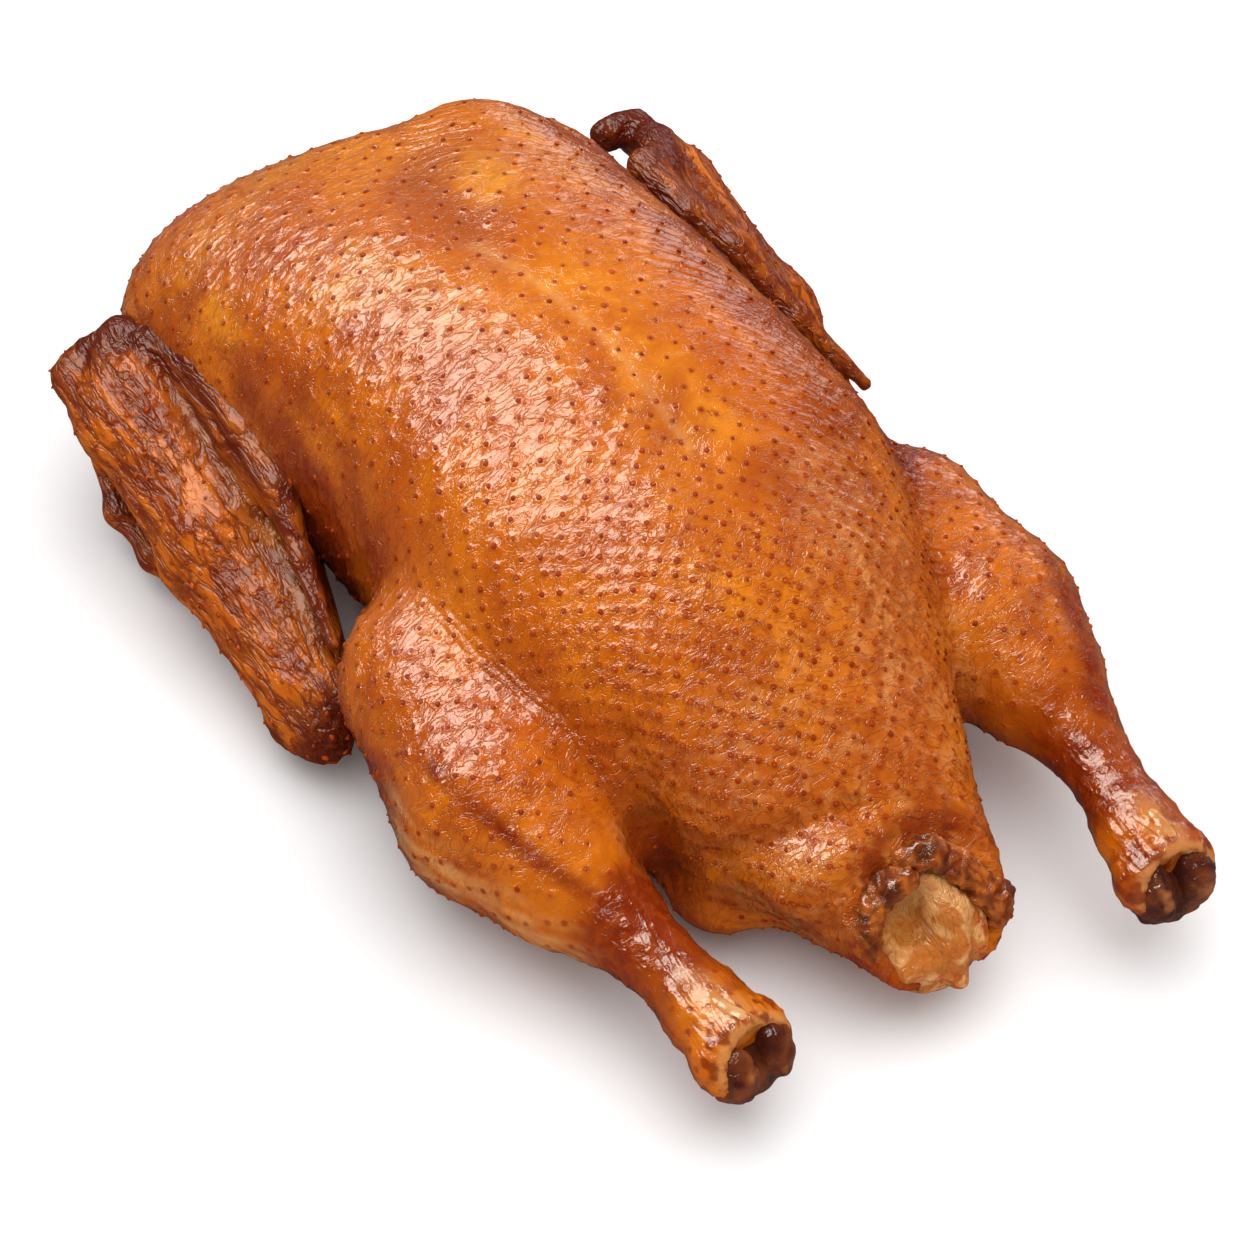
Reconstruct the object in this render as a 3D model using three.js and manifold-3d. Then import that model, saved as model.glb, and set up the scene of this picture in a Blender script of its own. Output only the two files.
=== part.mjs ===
// Smoked duck, whole and drawn, lying on its back with the breast up.
// Millimetres. +Y runs from the tail to the neck, +X is towards the wing that is on the right when
// the bird is looked at from its tail, and +Z is up through the breastbone.
// The origin is the middle of the footprint, on the surface that the back lies on.
//
// Every soft form is a field: a function that gives the rough distance from a point to a surface,
// below zero inside. Fields are joined with rounded seams, then faceted into closed meshes.

import * as THREE from "three";
import { mergeVertices } from "three/addons/utils/BufferGeometryUtils.js";
import Module from "manifold-3d";

const wasm = await Module();
wasm.setup();

// ---------------------------------------------------------------- driving dimensions

const torsoFacet = 9.2; // spacing of the net over the torso and legs
const wingFacet = 6.5; // the wings are slimmer, so their net is finer
const netReach = 0.35; // a vertex of the net is moved at most this part of a cell
const settleTurns = 3; // how often it is moved towards the surface
const slopeStep = 0.2; // how far apart a field is read to find its slope
const leastSlope2 = 0.05; // where a field is flatter than this, squared, a vertex stays where it is
const weldWithin = 1e-4; // vertices closer than this are one
const farAway = 400; // longer than anything here
const ballSides = 18;
const shortestEdge = 0.25; // shorter edges, left where two forms meet, are closed up
const fitGap = 0.35; // clearance between the flesh and what is set in it
const flatDepth = 2.2; // how far the back is pressed flat where it rests

// Cross sections of the torso from the tail to the neck: centre, half width, lowest and highest.
const torsoSections = [
  { y: -160, x: 6, half: 15, low: 19, high: 34 },
  { y: -132, x: 5, half: 19.5, low: 17.5, high: 43 },
  { y: -112, x: 3.8, half: 26.8, low: 12, high: 53 },
  { y: -88, x: 0.6, half: 38.4, low: 4, high: 71 },
  { y: -53, x: -1, half: 54.5, low: -flatDepth, high: 94 },
  { y: -9, x: -1, half: 67, low: -flatDepth, high: 107.5 },
  { y: 44, x: -4, half: 67, low: -flatDepth, high: 113.5 },
  { y: 92, x: -8.5, half: 69, low: -0.5, high: 110 },
  { y: 132, x: -11.5, half: 73.5, low: 3.5, high: 98.5 },
  { y: 176, x: -13, half: 75, low: 9, high: 86 },
];
const breastPower = 2.2; // section shape above its middle: 2 is an ellipse, more is squarer
const backPower = 2.7; // section shape below its middle
const neckEnd = 166; // where the front of the breast closes
const neckRound = 46; // length over which it closes
const neckSkew = 0.15; // the front reaches further on the left, by this slope
const tailEnd = -152;
const tailRound = 18;
const endPower = 2.8;

// Soft swellings of the torso: the full breast in front of the keel, and the fat of the rump.
const swellings = [
  { at: [19, 123, 82], radii: [17, 24, 16], seam: 12 },
  { at: [-31, -82, 16.5], radii: [11.5, 12.5, 8.8], seam: 8 },
];

// The stump of the neck under its fold of skin: place and radius.
const neckStump = [
  { at: [-3.5, 123, 40], r: 31 },
  { at: [-3.5, 155, 38], r: 21 },
];

// The slanting cut across the tail, with the pale flesh set in it and the hollow in that flesh.
const vent = {
  at: [4.5, -126.5, 32.5],
  lean: 0.86, // angle in radians from upright towards the breast
  fleshRadii: [14.5, 18, 14],
  dimpleRadii: [9, 10, 8],
  dimpleAt: [-3, 4, 5],
  fleshProud: 2, // how far the flesh swells past the cut
  fleshSides: 24,
  cutReach: 44,
};

// Each leg from the knee to the cut hock: place and radius of the meat round the bone.
const legs = {
  left: [
    { at: [-66, -3, 40.5], r: 27.8 },
    { at: [-69.8, -42, 34.3], r: 27.3 },
    { at: [-66.6, -67, 31.2], r: 19.4 },
    { at: [-62.8, -86, 29.6], r: 10.3 },
    { at: [-59.8, -101, 28], r: 8.6 },
    { at: [-57, -118, 26.8], r: 9.6 },
    { at: [-54.8, -132, 26.3], r: 12 },
  ],
  right: [
    { at: [61.8, -23.5, 41.4], r: 26.5 },
    { at: [67.3, -58, 38.8], r: 24 },
    { at: [68.5, -80, 37], r: 16.4 },
    { at: [67.9, -98, 35.5], r: 9.6 },
    { at: [66.5, -113, 34.2], r: 8.4 },
    { at: [64.8, -129, 32], r: 9.6 },
    { at: [63.6, -143, 30.5], r: 12 },
  ],
};
const hockCutOut = 6.6; // the cut is this far beyond the last place in a leg
const hockCutReach = 26;
const hockCutLean = 0.5; // the cut faces up by this angle in radians
const hockHollow = [9.6, 9.6, 3.4]; // half sizes of the hollow in the cut, round the bone
const bone = {
  length: 92,
  shaftRadius: 4.2,
  flareLength: 22,
  flareRadius: 7.2,
  lobeRadius: 4.6,
  lobeOffset: 4.1, // the two rounded lobes of the joint stand this far each side of the middle
  lobeHeight: 1.15, // how much taller than wide they are
  standProud: -2.2, // how far the flare stands past the cut, before the lobes
  topShare: 0.7, // the hidden end narrows to this part of the shaft, over topRound
  topRound: 3,
  faceShare: 0.9, // the face at the cut narrows to this part of the flare, over faceRound
  faceRound: 5,
  sides: 18,
  lobeSides: 14,
};

// Each wing lies folded along the flank: the upper arm under it, the forearm from the elbow to the
// wrist with its ridges, the knobs of the wrist, the hand laid back again towards the tail, and the
// thin meat that joins the hand to the forearm.
const wings = {
  left: {
    outer: [
      { at: [-92.5, 19, 16], r: 9.8 },
      { at: [-97.8, 79, 27], r: 9.3 },
      { at: [-99.8, 126, 40], r: 9 },
      { at: [-102, 146, 44], r: 7 },
    ],
    inner: [
      { at: [-88, 22, 23.5], r: 8.6 },
      { at: [-89.5, 79, 38], r: 7.6 },
      { at: [-90.5, 128, 51.5], r: 8 },
    ],
    wrist: [
      { at: [-96.5, 145.5, 48.5], r: 5.8 },
      { at: [-88.8, 142, 54], r: 6.2 },
      { at: [-82.5, 132, 56.5], r: 6.2 },
      { at: [-75.8, 117.5, 59], r: 7 },
    ],
    hand: [
      { at: [-75.6, 116, 60], r: 6.4 },
      { at: [-76.2, 91.3, 57], r: 4.8 },
      { at: [-76.6, 69.7, 52.5], r: 5.2 },
      { at: [-80.2, 50, 45], r: 3.6 },
      { at: [-84.5, 28, 36.5], r: 3.2 },
    ],
    web: [
      { at: [-82, 116, 50.5], r: 5.5 },
      { at: [-82, 79, 42], r: 5 },
      { at: [-82.5, 34, 31], r: 4.6 },
    ],
    upper: [
      { at: [-89, 23, 16], r: 9.5 },
      { at: [-70.5, 111, 35], r: 14 },
    ],
  },
  right: {
    outer: [
      { at: [85.5, 32, 16.5], r: 8.2 },
      { at: [89.6, 79, 31], r: 8.6 },
      { at: [86, 128, 46], r: 8.2 },
      { at: [81.5, 144, 51], r: 6.2 },
    ],
    inner: [
      { at: [82.5, 34, 22], r: 7 },
      { at: [85, 79, 37], r: 7 },
      { at: [82, 128, 51.5], r: 7.2 },
    ],
    wrist: [
      { at: [72.5, 148.5, 54.5], r: 5 },
      { at: [80.5, 146, 54.5], r: 5.6 },
      { at: [81, 136, 56], r: 6 },
      { at: [76, 124, 58], r: 6 },
    ],
    hand: [
      { at: [71.6, 126.5, 59.5], r: 5.8 },
      { at: [73.6, 104.6, 57], r: 4.9 },
      { at: [79.3, 88.7, 53.5], r: 5.2 },
      { at: [84.8, 62.6, 44], r: 3.8 },
      { at: [91, 42, 35], r: 3.2 },
    ],
    web: [
      { at: [78.5, 120, 51.5], r: 5 },
      { at: [81.5, 88, 45], r: 5.8 },
      { at: [87, 48, 33], r: 4.2 },
    ],
    upper: [
      { at: [85.5, 32, 17.5], r: 8 },
      { at: [68.5, 111, 35], r: 14 },
    ],
  },
};

// Radii of the rounded seams where one form runs into another.
const seams = { neck: 14, leg: 9, withinLeg: 8, withinWing: 5, forearm: 6, hand: 4, upperArm: 5 };

const finishes = {
  skin: { color: 0xb8691f, roughness: 0.38, metalness: 0 },
  bone: { color: 0x4a2114, roughness: 0.42, metalness: 0 },
  flesh: { color: 0xd9b27c, roughness: 0.4, metalness: 0 },
};

// ---------------------------------------------------------------- fields

function smoothUnion(a, b, blend) {
  const near = Math.max(blend - Math.abs(a - b), 0) / blend;
  return Math.min(a, b) - near * near * blend * 0.25;
}

function taperedRod(p, a, b) {
  const run = [0, 1, 2].map((k) => b.at[k] - a.at[k]);
  const off = [0, 1, 2].map((k) => p[k] - a.at[k]);
  const length2 = run[0] ** 2 + run[1] ** 2 + run[2] ** 2;
  const along = (off[0] * run[0] + off[1] * run[1] + off[2] * run[2]) / length2;
  const t = THREE.MathUtils.clamp(along, 0, 1);
  const gap = Math.hypot(off[0] - t * run[0], off[1] - t * run[1], off[2] - t * run[2]);
  return gap - THREE.MathUtils.lerp(a.r, b.r, t);
}

function limb(p, joints, blend) {
  let nearest = taperedRod(p, joints[0], joints[1]);
  for (let i = 1; i + 1 < joints.length; i += 1) {
    nearest = smoothUnion(nearest, taperedRod(p, joints[i], joints[i + 1]), blend);
  }
  return nearest;
}

function passThrough(before, from, to, after, t) {
  const slope = to - before;
  const bend = 2 * before - 5 * from + 4 * to - after;
  const twist = 3 * from - before - 3 * to + after;
  return from + 0.5 * (slope * t + bend * t * t + twist * t ** 3);
}

function sectionAt(y) {
  const last = torsoSections.length - 1;
  let i = 0;
  while (i < last - 1 && torsoSections[i + 1].y < y) i += 1;
  const around = [i - 1, i, i + 1, i + 2].map((k) => torsoSections[THREE.MathUtils.clamp(k, 0, last)]);
  const t = THREE.MathUtils.clamp((y - around[1].y) / (around[2].y - around[1].y), 0, 1);
  const read = (key) => passThrough(...around.map((section) => section[key]), t);
  return { x: read("x"), half: read("half"), low: read("low"), high: read("high") };
}

// How far out a point is in its section, 1 on the surface, with both ends of the torso closed.
function torsoRatio(x, y, z) {
  const s = sectionAt(y);
  const middle = (s.low + s.high) / 2;
  const tall = (s.high - s.low) / 2;
  const power = z > middle ? breastPower : backPower;
  const u = Math.abs(x - s.x) / s.half;
  const v = Math.abs(z - middle) / tall;
  const around = (u ** power + v ** power) ** (1 / power);
  const skewed = y + neckSkew * Math.min(x, 0);
  const front = Math.max((skewed - neckEnd + neckRound) / neckRound, 0);
  const rear = Math.max((tailEnd + tailRound - y) / tailRound, 0);
  return (around ** endPower + front ** endPower + rear ** endPower) ** (1 / endPower);
}

function torso([x, y, z]) {
  const leastSlope = 0.004; // the ratio is nearly flat in the middle
  const here = torsoRatio(x, y, z);
  const gx = (torsoRatio(x + slopeStep, y, z) - here) / slopeStep;
  const gy = (torsoRatio(x, y + slopeStep, z) - here) / slopeStep;
  const gz = (torsoRatio(x, y, z + slopeStep) - here) / slopeStep;
  return (here - 1) / Math.max(Math.hypot(gx, gy, gz), leastSlope);
}

function ellipsoid(p, { at, radii }) {
  const off = [0, 1, 2].map((k) => p[k] - at[k]);
  const scaled = Math.hypot(...off.map((v, k) => v / radii[k]));
  const slope = Math.hypot(...off.map((v, k) => v / radii[k] ** 2));
  return slope === 0 ? -Math.min(...radii) : (scaled * (scaled - 1)) / slope;
}

function bird(p) {
  let d = smoothUnion(torso(p), limb(p, neckStump, seams.neck), seams.neck);
  for (const swelling of swellings) d = smoothUnion(d, ellipsoid(p, swelling), swelling.seam);
  d = smoothUnion(d, limb(p, legs.left, seams.withinLeg), seams.leg);
  return smoothUnion(d, limb(p, legs.right, seams.withinLeg), seams.leg);
}

function wing(p, parts) {
  const rod = (name) => limb(p, parts[name], seams.withinWing);
  let d = smoothUnion(rod("outer"), rod("inner"), seams.forearm);
  for (const name of ["wrist", "hand", "web"]) d = smoothUnion(d, rod(name), seams.hand);
  return smoothUnion(d, rod("upper"), seams.upperArm);
}

// ---------------------------------------------------------------- from a field to a closed mesh

function sampleField(field, box, cell) {
  const count = [0, 1, 2].map((k) => Math.ceil((box.high[k] - box.low[k]) / cell) + 1);
  const values = new Float64Array(count[0] * count[1] * count[2]);
  const at = (i, j, k) => i + count[0] * (j + count[1] * k);
  for (let k = 0; k < count[2]; k += 1) {
    for (let j = 0; j < count[1]; j += 1) {
      for (let i = 0; i < count[0]; i += 1) {
        values[at(i, j, k)] = field([0, 1, 2].map((m) => box.low[m] + [i, j, k][m] * cell));
      }
    }
  }
  return { count, values, at };
}

// The middle of the places where the surface crosses a cell's edges, or null if it crosses none.
function cellMiddle(grid, corner) {
  const sum = new THREE.Vector3();
  let crossings = 0;
  for (let c = 0; c < 8; c += 1) {
    const start = [c & 1, (c >> 1) & 1, (c >> 2) & 1];
    const a = grid.values[grid.at(...corner.map((n, m) => n + start[m]))];
    for (let axis = 0; axis < 3; axis += 1) {
      if (start[axis] === 1) continue;
      const end = start.map((n, m) => (m === axis ? 1 : n));
      const b = grid.values[grid.at(...corner.map((n, m) => n + end[m]))];
      if (a < 0 === b < 0) continue;
      const place = new THREE.Vector3(...start);
      place.setComponent(axis, a / (a - b));
      sum.add(place);
      crossings += 1;
    }
  }
  return crossings === 0 ? null : sum.divideScalar(crossings).add(new THREE.Vector3(...corner));
}

// Moves a point along the field's slope until it lies on the surface, but never far.
function settle(field, point, reach) {
  const start = point.clone();
  for (let turn = 0; turn < settleTurns; turn += 1) {
    const here = field(point.toArray());
    const slope = new THREE.Vector3();
    for (let axis = 0; axis < 3; axis += 1) {
      const beside = point.clone();
      beside.setComponent(axis, beside.getComponent(axis) + slopeStep);
      slope.setComponent(axis, (field(beside.toArray()) - here) / slopeStep);
    }
    if (slope.lengthSq() < leastSlope2) return point;
    point.addScaledVector(slope, -here / slope.lengthSq());
    const moved = point.clone().sub(start).clampLength(0, reach);
    point.copy(start).add(moved);
  }
  return point;
}

// One vertex for each cell that the surface crosses, and one quad for each grid edge that it crosses.
function netGeometry(field, box, cell) {
  const grid = sampleField(field, box, cell);
  const { count, values, at } = grid;
  const vertexOf = new Map();
  const points = [];
  for (let k = 0; k + 1 < count[2]; k += 1) {
    for (let j = 0; j + 1 < count[1]; j += 1) {
      for (let i = 0; i + 1 < count[0]; i += 1) {
        const middle = cellMiddle(grid, [i, j, k]);
        if (middle === null) continue;
        const place = middle.multiplyScalar(cell).add(new THREE.Vector3(...box.low));
        vertexOf.set(at(i, j, k), points.length);
        points.push(settle(field, place, cell * netReach));
      }
    }
  }
  const triangles = [];
  for (let axis = 0; axis < 3; axis += 1) {
    const u = (axis + 1) % 3;
    const v = (axis + 2) % 3;
    for (let k = 0; k < count[2]; k += 1) {
      for (let j = 0; j < count[1]; j += 1) {
        for (let i = 0; i < count[0]; i += 1) {
          const here = [i, j, k];
          if (here[axis] + 1 >= count[axis] || here[u] === 0 || here[v] === 0) continue;
          const inside = values[at(...here)] < 0;
          const next = here.map((n, m) => (m === axis ? n + 1 : n));
          if (inside === values[at(...next)] < 0) continue;
          const quad = [[0, 0], [1, 0], [1, 1], [0, 1]].map(([du, dv]) => {
            const cellAt = [...here];
            cellAt[u] -= du;
            cellAt[v] -= dv;
            return vertexOf.get(at(...cellAt));
          });
          if (!inside) quad.reverse();
          triangles.push(...splitQuad(quad, points));
        }
      }
    }
  }
  const geometry = new THREE.BufferGeometry().setFromPoints(points);
  geometry.setIndex(triangles);
  return geometry;
}

// Cuts a quad into two triangles along its shorter diagonal.
function splitQuad([a, b, c, d], points) {
  const shortAC = points[a].distanceTo(points[c]) <= points[b].distanceTo(points[d]);
  return shortAC ? [a, b, c, a, c, d] : [a, b, d, b, c, d];
}

// ---------------------------------------------------------------- solids

function solidOf(geometry) {
  geometry.deleteAttribute("normal");
  geometry.deleteAttribute("uv");
  const merged = mergeVertices(geometry, weldWithin);
  const vertProperties = new Float32Array(merged.attributes.position.array);
  const triVerts = new Uint32Array(merged.index.array);
  return new wasm.Manifold(new wasm.Mesh({ numProp: 3, vertProperties, triVerts }));
}

// Closes up the very short edges that a join or a cut leaves, keeping the lower end of each.
function withoutShortEdges(solid) {
  const source = solid.getMesh();
  const points = [];
  for (let i = 0; i < source.vertProperties.length; i += 3) {
    points.push(new THREE.Vector3().fromArray(source.vertProperties, i));
  }
  let triangles = [];
  for (let i = 0; i < source.triVerts.length; i += 3) triangles.push([...source.triVerts.slice(i, i + 3)]);
  let closed = 1;
  while (closed > 0) {
    closed = 0;
    const beside = points.map(() => new Set());
    for (const [a, b, c] of triangles) {
      for (const [from, to] of [[a, b], [b, c], [c, a]]) {
        beside[from].add(to);
        beside[to].add(from);
      }
    }
    const standsFor = points.map((_, i) => i);
    const busy = new Set();
    for (const [a, b] of triangles.flatMap(([p, q, r]) => [[p, q], [q, r], [r, p]])) {
      if (busy.has(a) || busy.has(b) || points[a].distanceTo(points[b]) > shortestEdge) continue;
      const shared = [...beside[a]].filter((n) => beside[b].has(n));
      if (shared.length !== 2) continue;
      const [kept, lost] = points[a].z <= points[b].z ? [a, b] : [b, a];
      standsFor[lost] = kept;
      for (const n of [a, b, ...beside[a], ...beside[b]]) busy.add(n);
      closed += 1;
    }
    triangles = triangles.map((corners) => corners.map((n) => standsFor[n]));
    triangles = triangles.filter(([a, b, c]) => a !== b && b !== c && c !== a);
  }
  const geometry = new THREE.BufferGeometry().setFromPoints(points);
  geometry.setIndex(triangles.flat());
  return solidOf(geometry);
}

function meshOf(solid, name, finish) {
  const { vertProperties, triVerts } = solid.getMesh();
  const geometry = new THREE.BufferGeometry();
  geometry.setAttribute("position", new THREE.BufferAttribute(vertProperties, 3));
  geometry.setIndex(new THREE.BufferAttribute(triVerts, 1));
  const mesh = new THREE.Mesh(geometry, new THREE.MeshStandardMaterial(finish));
  mesh.name = name;
  return mesh;
}

function ballAt(place, radii, turn, sides = ballSides) {
  const ball = new THREE.SphereGeometry(1, sides, sides / 2);
  ball.scale(...radii);
  ball.rotateX(turn);
  ball.translate(...place);
  return solidOf(ball);
}

// Everything on the far side of a plane: a big block whose one face lies on it.
function blockBeyond(place, outward) {
  const block = new THREE.BoxGeometry(farAway, farAway, farAway);
  block.translate(0, 0, farAway / 2);
  block.applyQuaternion(new THREE.Quaternion().setFromUnitVectors(new THREE.Vector3(0, 0, 1), outward));
  block.translate(...place.toArray());
  return solidOf(block);
}

// What a straight cut takes off a limb: all beyond a plane, within reach of the cut's middle.
function cutEnd(place, outward, reach) {
  const nearby = ballAt(place.toArray(), [reach, reach, reach], 0);
  return blockBeyond(place, outward).intersect(nearby);
}

// The frame of a leg's bone: where the cut is, the way out of it, and the way that the cut faces.
function hockOf(joints) {
  const knee = new THREE.Vector3(...joints[1].at);
  const end = new THREE.Vector3(...joints[joints.length - 1].at);
  const outward = end.clone().sub(knee).normalize();
  const cutFace = outward.clone().applyAxisAngle(new THREE.Vector3(1, 0, 0), -hockCutLean);
  return { end: end.addScaledVector(outward, hockCutOut), outward, cutFace };
}

// The shank bone: a turned shaft that flares at the hock, with the two lobes of the joint.
// grow widens it all over, for the hole that it lies in.
function boneSolid(joints, grow) {
  const { end, outward } = hockOf(joints);
  const tip = bone.standProud;
  const top = tip - bone.length;
  const profile = [
    new THREE.Vector2(0, top - grow),
    new THREE.Vector2(bone.shaftRadius * bone.topShare + grow, top - grow),
    new THREE.Vector2(bone.shaftRadius + grow, top + bone.topRound),
    new THREE.Vector2(bone.shaftRadius + grow, tip - bone.flareLength),
    new THREE.Vector2(bone.flareRadius + grow, tip - bone.faceRound),
    new THREE.Vector2(bone.flareRadius * bone.faceShare + grow, tip + grow),
    new THREE.Vector2(0, tip + grow),
  ];
  const shaft = new THREE.LatheGeometry(profile, bone.sides);
  shaft.rotateX(Math.PI / 2);
  let solid = solidOf(shaft);
  for (const side of [-1, 1]) {
    const radius = bone.lobeRadius + grow;
    const radii = [radius, radius * bone.lobeHeight, radius];
    solid = solid.add(ballAt([side * bone.lobeOffset, 0, tip], radii, 0, bone.lobeSides));
  }
  const turn = new THREE.Quaternion().setFromUnitVectors(new THREE.Vector3(0, 0, 1), outward);
  return solid.transform(new THREE.Matrix4().compose(end, turn, new THREE.Vector3(1, 1, 1)).elements);
}

function ventPlace([x, y, z]) {
  const local = new THREE.Vector3(x, y, z);
  local.applyAxisAngle(new THREE.Vector3(1, 0, 0), vent.lean);
  return local.add(new THREE.Vector3(...vent.at)).toArray();
}

function ventFlesh(grow) {
  return ballAt(vent.at, vent.fleshRadii.map((r) => r + grow), vent.lean, vent.fleshSides);
}

// ---------------------------------------------------------------- the duck

const bodyBox = { low: [-120, -170, -14], high: [120, 196, 130] };
const leftBox = { low: [-126, -6, -10], high: [-42, 164, 80] };
const rightBox = { low: [44, 2, -10], high: [118, 164, 80] };
const upward = new THREE.Vector3(0, 0, 1);
const ventOut = upward.clone().applyAxisAngle(new THREE.Vector3(1, 0, 0), vent.lean);
const floor = blockBeyond(new THREE.Vector3(0, 0, 0), upward.clone().negate());

let body = solidOf(netGeometry(bird, bodyBox, torsoFacet));
body = body.subtract(cutEnd(new THREE.Vector3(...vent.at), ventOut, vent.cutReach));
body = body.subtract(ventFlesh(fitGap));
for (const joints of Object.values(legs)) {
  const { end, cutFace } = hockOf(joints);
  body = body.subtract(cutEnd(end, cutFace, hockCutReach));
  body = body.subtract(ballAt(end.toArray(), hockHollow, Math.atan2(-cutFace.y, cutFace.z)));
  body = body.subtract(boneSolid(joints, fitGap));
}
body = body.add(solidOf(netGeometry((p) => wing(p, wings.left), leftBox, wingFacet)));
body = body.add(solidOf(netGeometry((p) => wing(p, wings.right), rightBox, wingFacet)));
body = withoutShortEdges(body.subtract(floor));

const dimple = ballAt(ventPlace(vent.dimpleAt), vent.dimpleRadii, vent.lean);
const fleshTop = blockBeyond(new THREE.Vector3(...ventPlace([0, 0, vent.fleshProud])), ventOut);
const flesh = withoutShortEdges(ventFlesh(0).subtract(fleshTop).subtract(dimple));

const duck = new THREE.Group();
duck.add(meshOf(body, "duck_body", finishes.skin));
duck.add(meshOf(boneSolid(legs.left, 0), "shank_bone_left", finishes.bone));
duck.add(meshOf(boneSolid(legs.right, 0), "shank_bone_right", finishes.bone));
duck.add(meshOf(flesh, "tail_flesh", finishes.flesh));

const box = new THREE.Box3().setFromObject(duck);
const middle = box.getCenter(new THREE.Vector3());
duck.position.set(-middle.x, -middle.y, 0);

export default duck;
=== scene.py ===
"""A whole smoked duck lying breast up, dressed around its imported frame.

Forms are worked out in millimetres from a point on the table under the keel: +Y runs from the tail to
the neck, +X towards the right wing and +Z up. Bench turns them into metres in the row frame.
"""

from __future__ import annotations

import logging
import math
from dataclasses import dataclass, field
from enum import Enum
from functools import lru_cache
from typing import Protocol

import bpy
import numpy as np
import openvdb
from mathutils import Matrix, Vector
from mathutils.kdtree import KDTree


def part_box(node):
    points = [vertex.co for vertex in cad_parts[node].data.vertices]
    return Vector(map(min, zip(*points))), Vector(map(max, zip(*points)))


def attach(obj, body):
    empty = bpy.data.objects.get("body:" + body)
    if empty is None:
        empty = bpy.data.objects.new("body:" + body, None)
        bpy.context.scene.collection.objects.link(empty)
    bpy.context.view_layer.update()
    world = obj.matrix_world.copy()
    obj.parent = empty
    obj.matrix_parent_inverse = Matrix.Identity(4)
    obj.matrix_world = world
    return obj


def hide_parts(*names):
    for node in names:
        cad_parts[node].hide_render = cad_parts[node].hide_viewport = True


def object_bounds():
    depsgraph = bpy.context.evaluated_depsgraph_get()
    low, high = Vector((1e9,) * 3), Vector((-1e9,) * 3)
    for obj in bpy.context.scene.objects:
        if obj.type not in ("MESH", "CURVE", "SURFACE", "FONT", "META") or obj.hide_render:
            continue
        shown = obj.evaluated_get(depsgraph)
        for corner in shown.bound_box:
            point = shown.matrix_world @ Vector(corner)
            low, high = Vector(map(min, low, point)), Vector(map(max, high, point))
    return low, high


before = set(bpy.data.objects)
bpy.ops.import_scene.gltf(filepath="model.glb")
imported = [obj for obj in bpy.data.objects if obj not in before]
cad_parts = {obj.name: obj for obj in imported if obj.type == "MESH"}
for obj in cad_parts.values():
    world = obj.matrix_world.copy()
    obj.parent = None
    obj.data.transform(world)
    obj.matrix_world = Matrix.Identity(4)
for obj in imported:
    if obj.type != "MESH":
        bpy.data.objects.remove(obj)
CAD_LOW, CAD_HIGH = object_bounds()

RIPPLE = 4.8  # mm from one ripple of the skin to the next
PLEAT = 4.2  # mm from one pleat beside a leg to the next
FINE_PLEAT = 3.0  # mm from one of the finer pleats between them to the next

Array = np.ndarray
Spot = tuple[float, float, float]
Place = tuple[float, float, float, float]  # x, y, z and radius
Mark = tuple[float, float, float]  # y, turn in degrees and radius
Node = bpy.types.Node
Socket = bpy.types.NodeSocket
Material = bpy.types.Material

log = logging.getLogger("smoked_duck")


class Side(Enum):
    """Which side of the keel a limb is on, as +1 or -1 along X."""

    LEFT = -1
    RIGHT = 1

    @property
    def word(self) -> str:
        """The side's name as it ends a piece's name."""
        return self.name.lower()


class Slot(Enum):
    """The record's material slots."""

    SKIN = "skin"
    BONE = "bone"
    FLESH = "flesh"


# ---------------------------------------------------------------- forms


class Form(Protocol):
    """Anything that has a surface in space."""

    def distance(self, points: Array) -> Array:
        """Rough distance of each point from the surface, below zero inside."""


def smooth_union(a: Array, b: Array, blend: float) -> Array:
    """Two forms joined by a rounded seam.

    Args:
        a: distances from the first form.
        b: distances from the second form.
        blend: how wide the seam is.

    Returns:
        Distances from the joined form.
    """
    near = np.maximum(blend - np.abs(a - b), 0.0) / blend
    return np.minimum(a, b) - near * near * blend * 0.25


def smooth_cut(solid: Array, tool: Array, blend: float) -> Array:
    """What is left of a form when another is cut out of it, with a rounded rim."""
    return -smooth_union(-solid, tool, blend)


def ease(value: Array, low: float, high: float) -> Array:
    """A smooth step from 0 at low to 1 at high; low may be the larger one."""
    t = np.clip((value - low) / (high - low), 0.0, 1.0)
    return t * t * (3.0 - 2.0 * t)


def slope_of(form: Form, points: Array, step: float = 0.3) -> tuple[Array, Array]:
    """Distances and their slopes.

    Args:
        form: the form to measure.
        points: where, as (n, 3).
        step: how far apart the distances compared are.

    Returns:
        The distances (n,) and the slopes (n, 3).
    """
    here = form.distance(points)
    slopes = np.empty_like(points)
    for axis in range(3):
        beside = points.copy()
        beside[:, axis] += step
        slopes[:, axis] = (form.distance(beside) - here) / step
    return here, slopes


def settle(form: Form, points: Array, reach: float, turns: int = 2) -> tuple[Array, Array]:
    """Moves points onto a form's surface.

    Args:
        form: the form.
        points: points near its surface, as (n, 3).
        reach: the most that one turn may move a point.
        turns: how often each point is moved.

    Returns:
        The moved points and the outward unit normals there.
    """
    for _ in range(turns):
        here, slopes = slope_of(form, points)
        steep = np.maximum((slopes * slopes).sum(1), 0.05)
        far = np.clip(here / np.sqrt(steep), -reach, reach)
        points = points - slopes * (far / np.sqrt(steep))[:, None]
    slopes = slope_of(form, points)[1]
    return points, slopes / np.maximum(np.linalg.norm(slopes, axis=1), 1e-6)[:, None]


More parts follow.
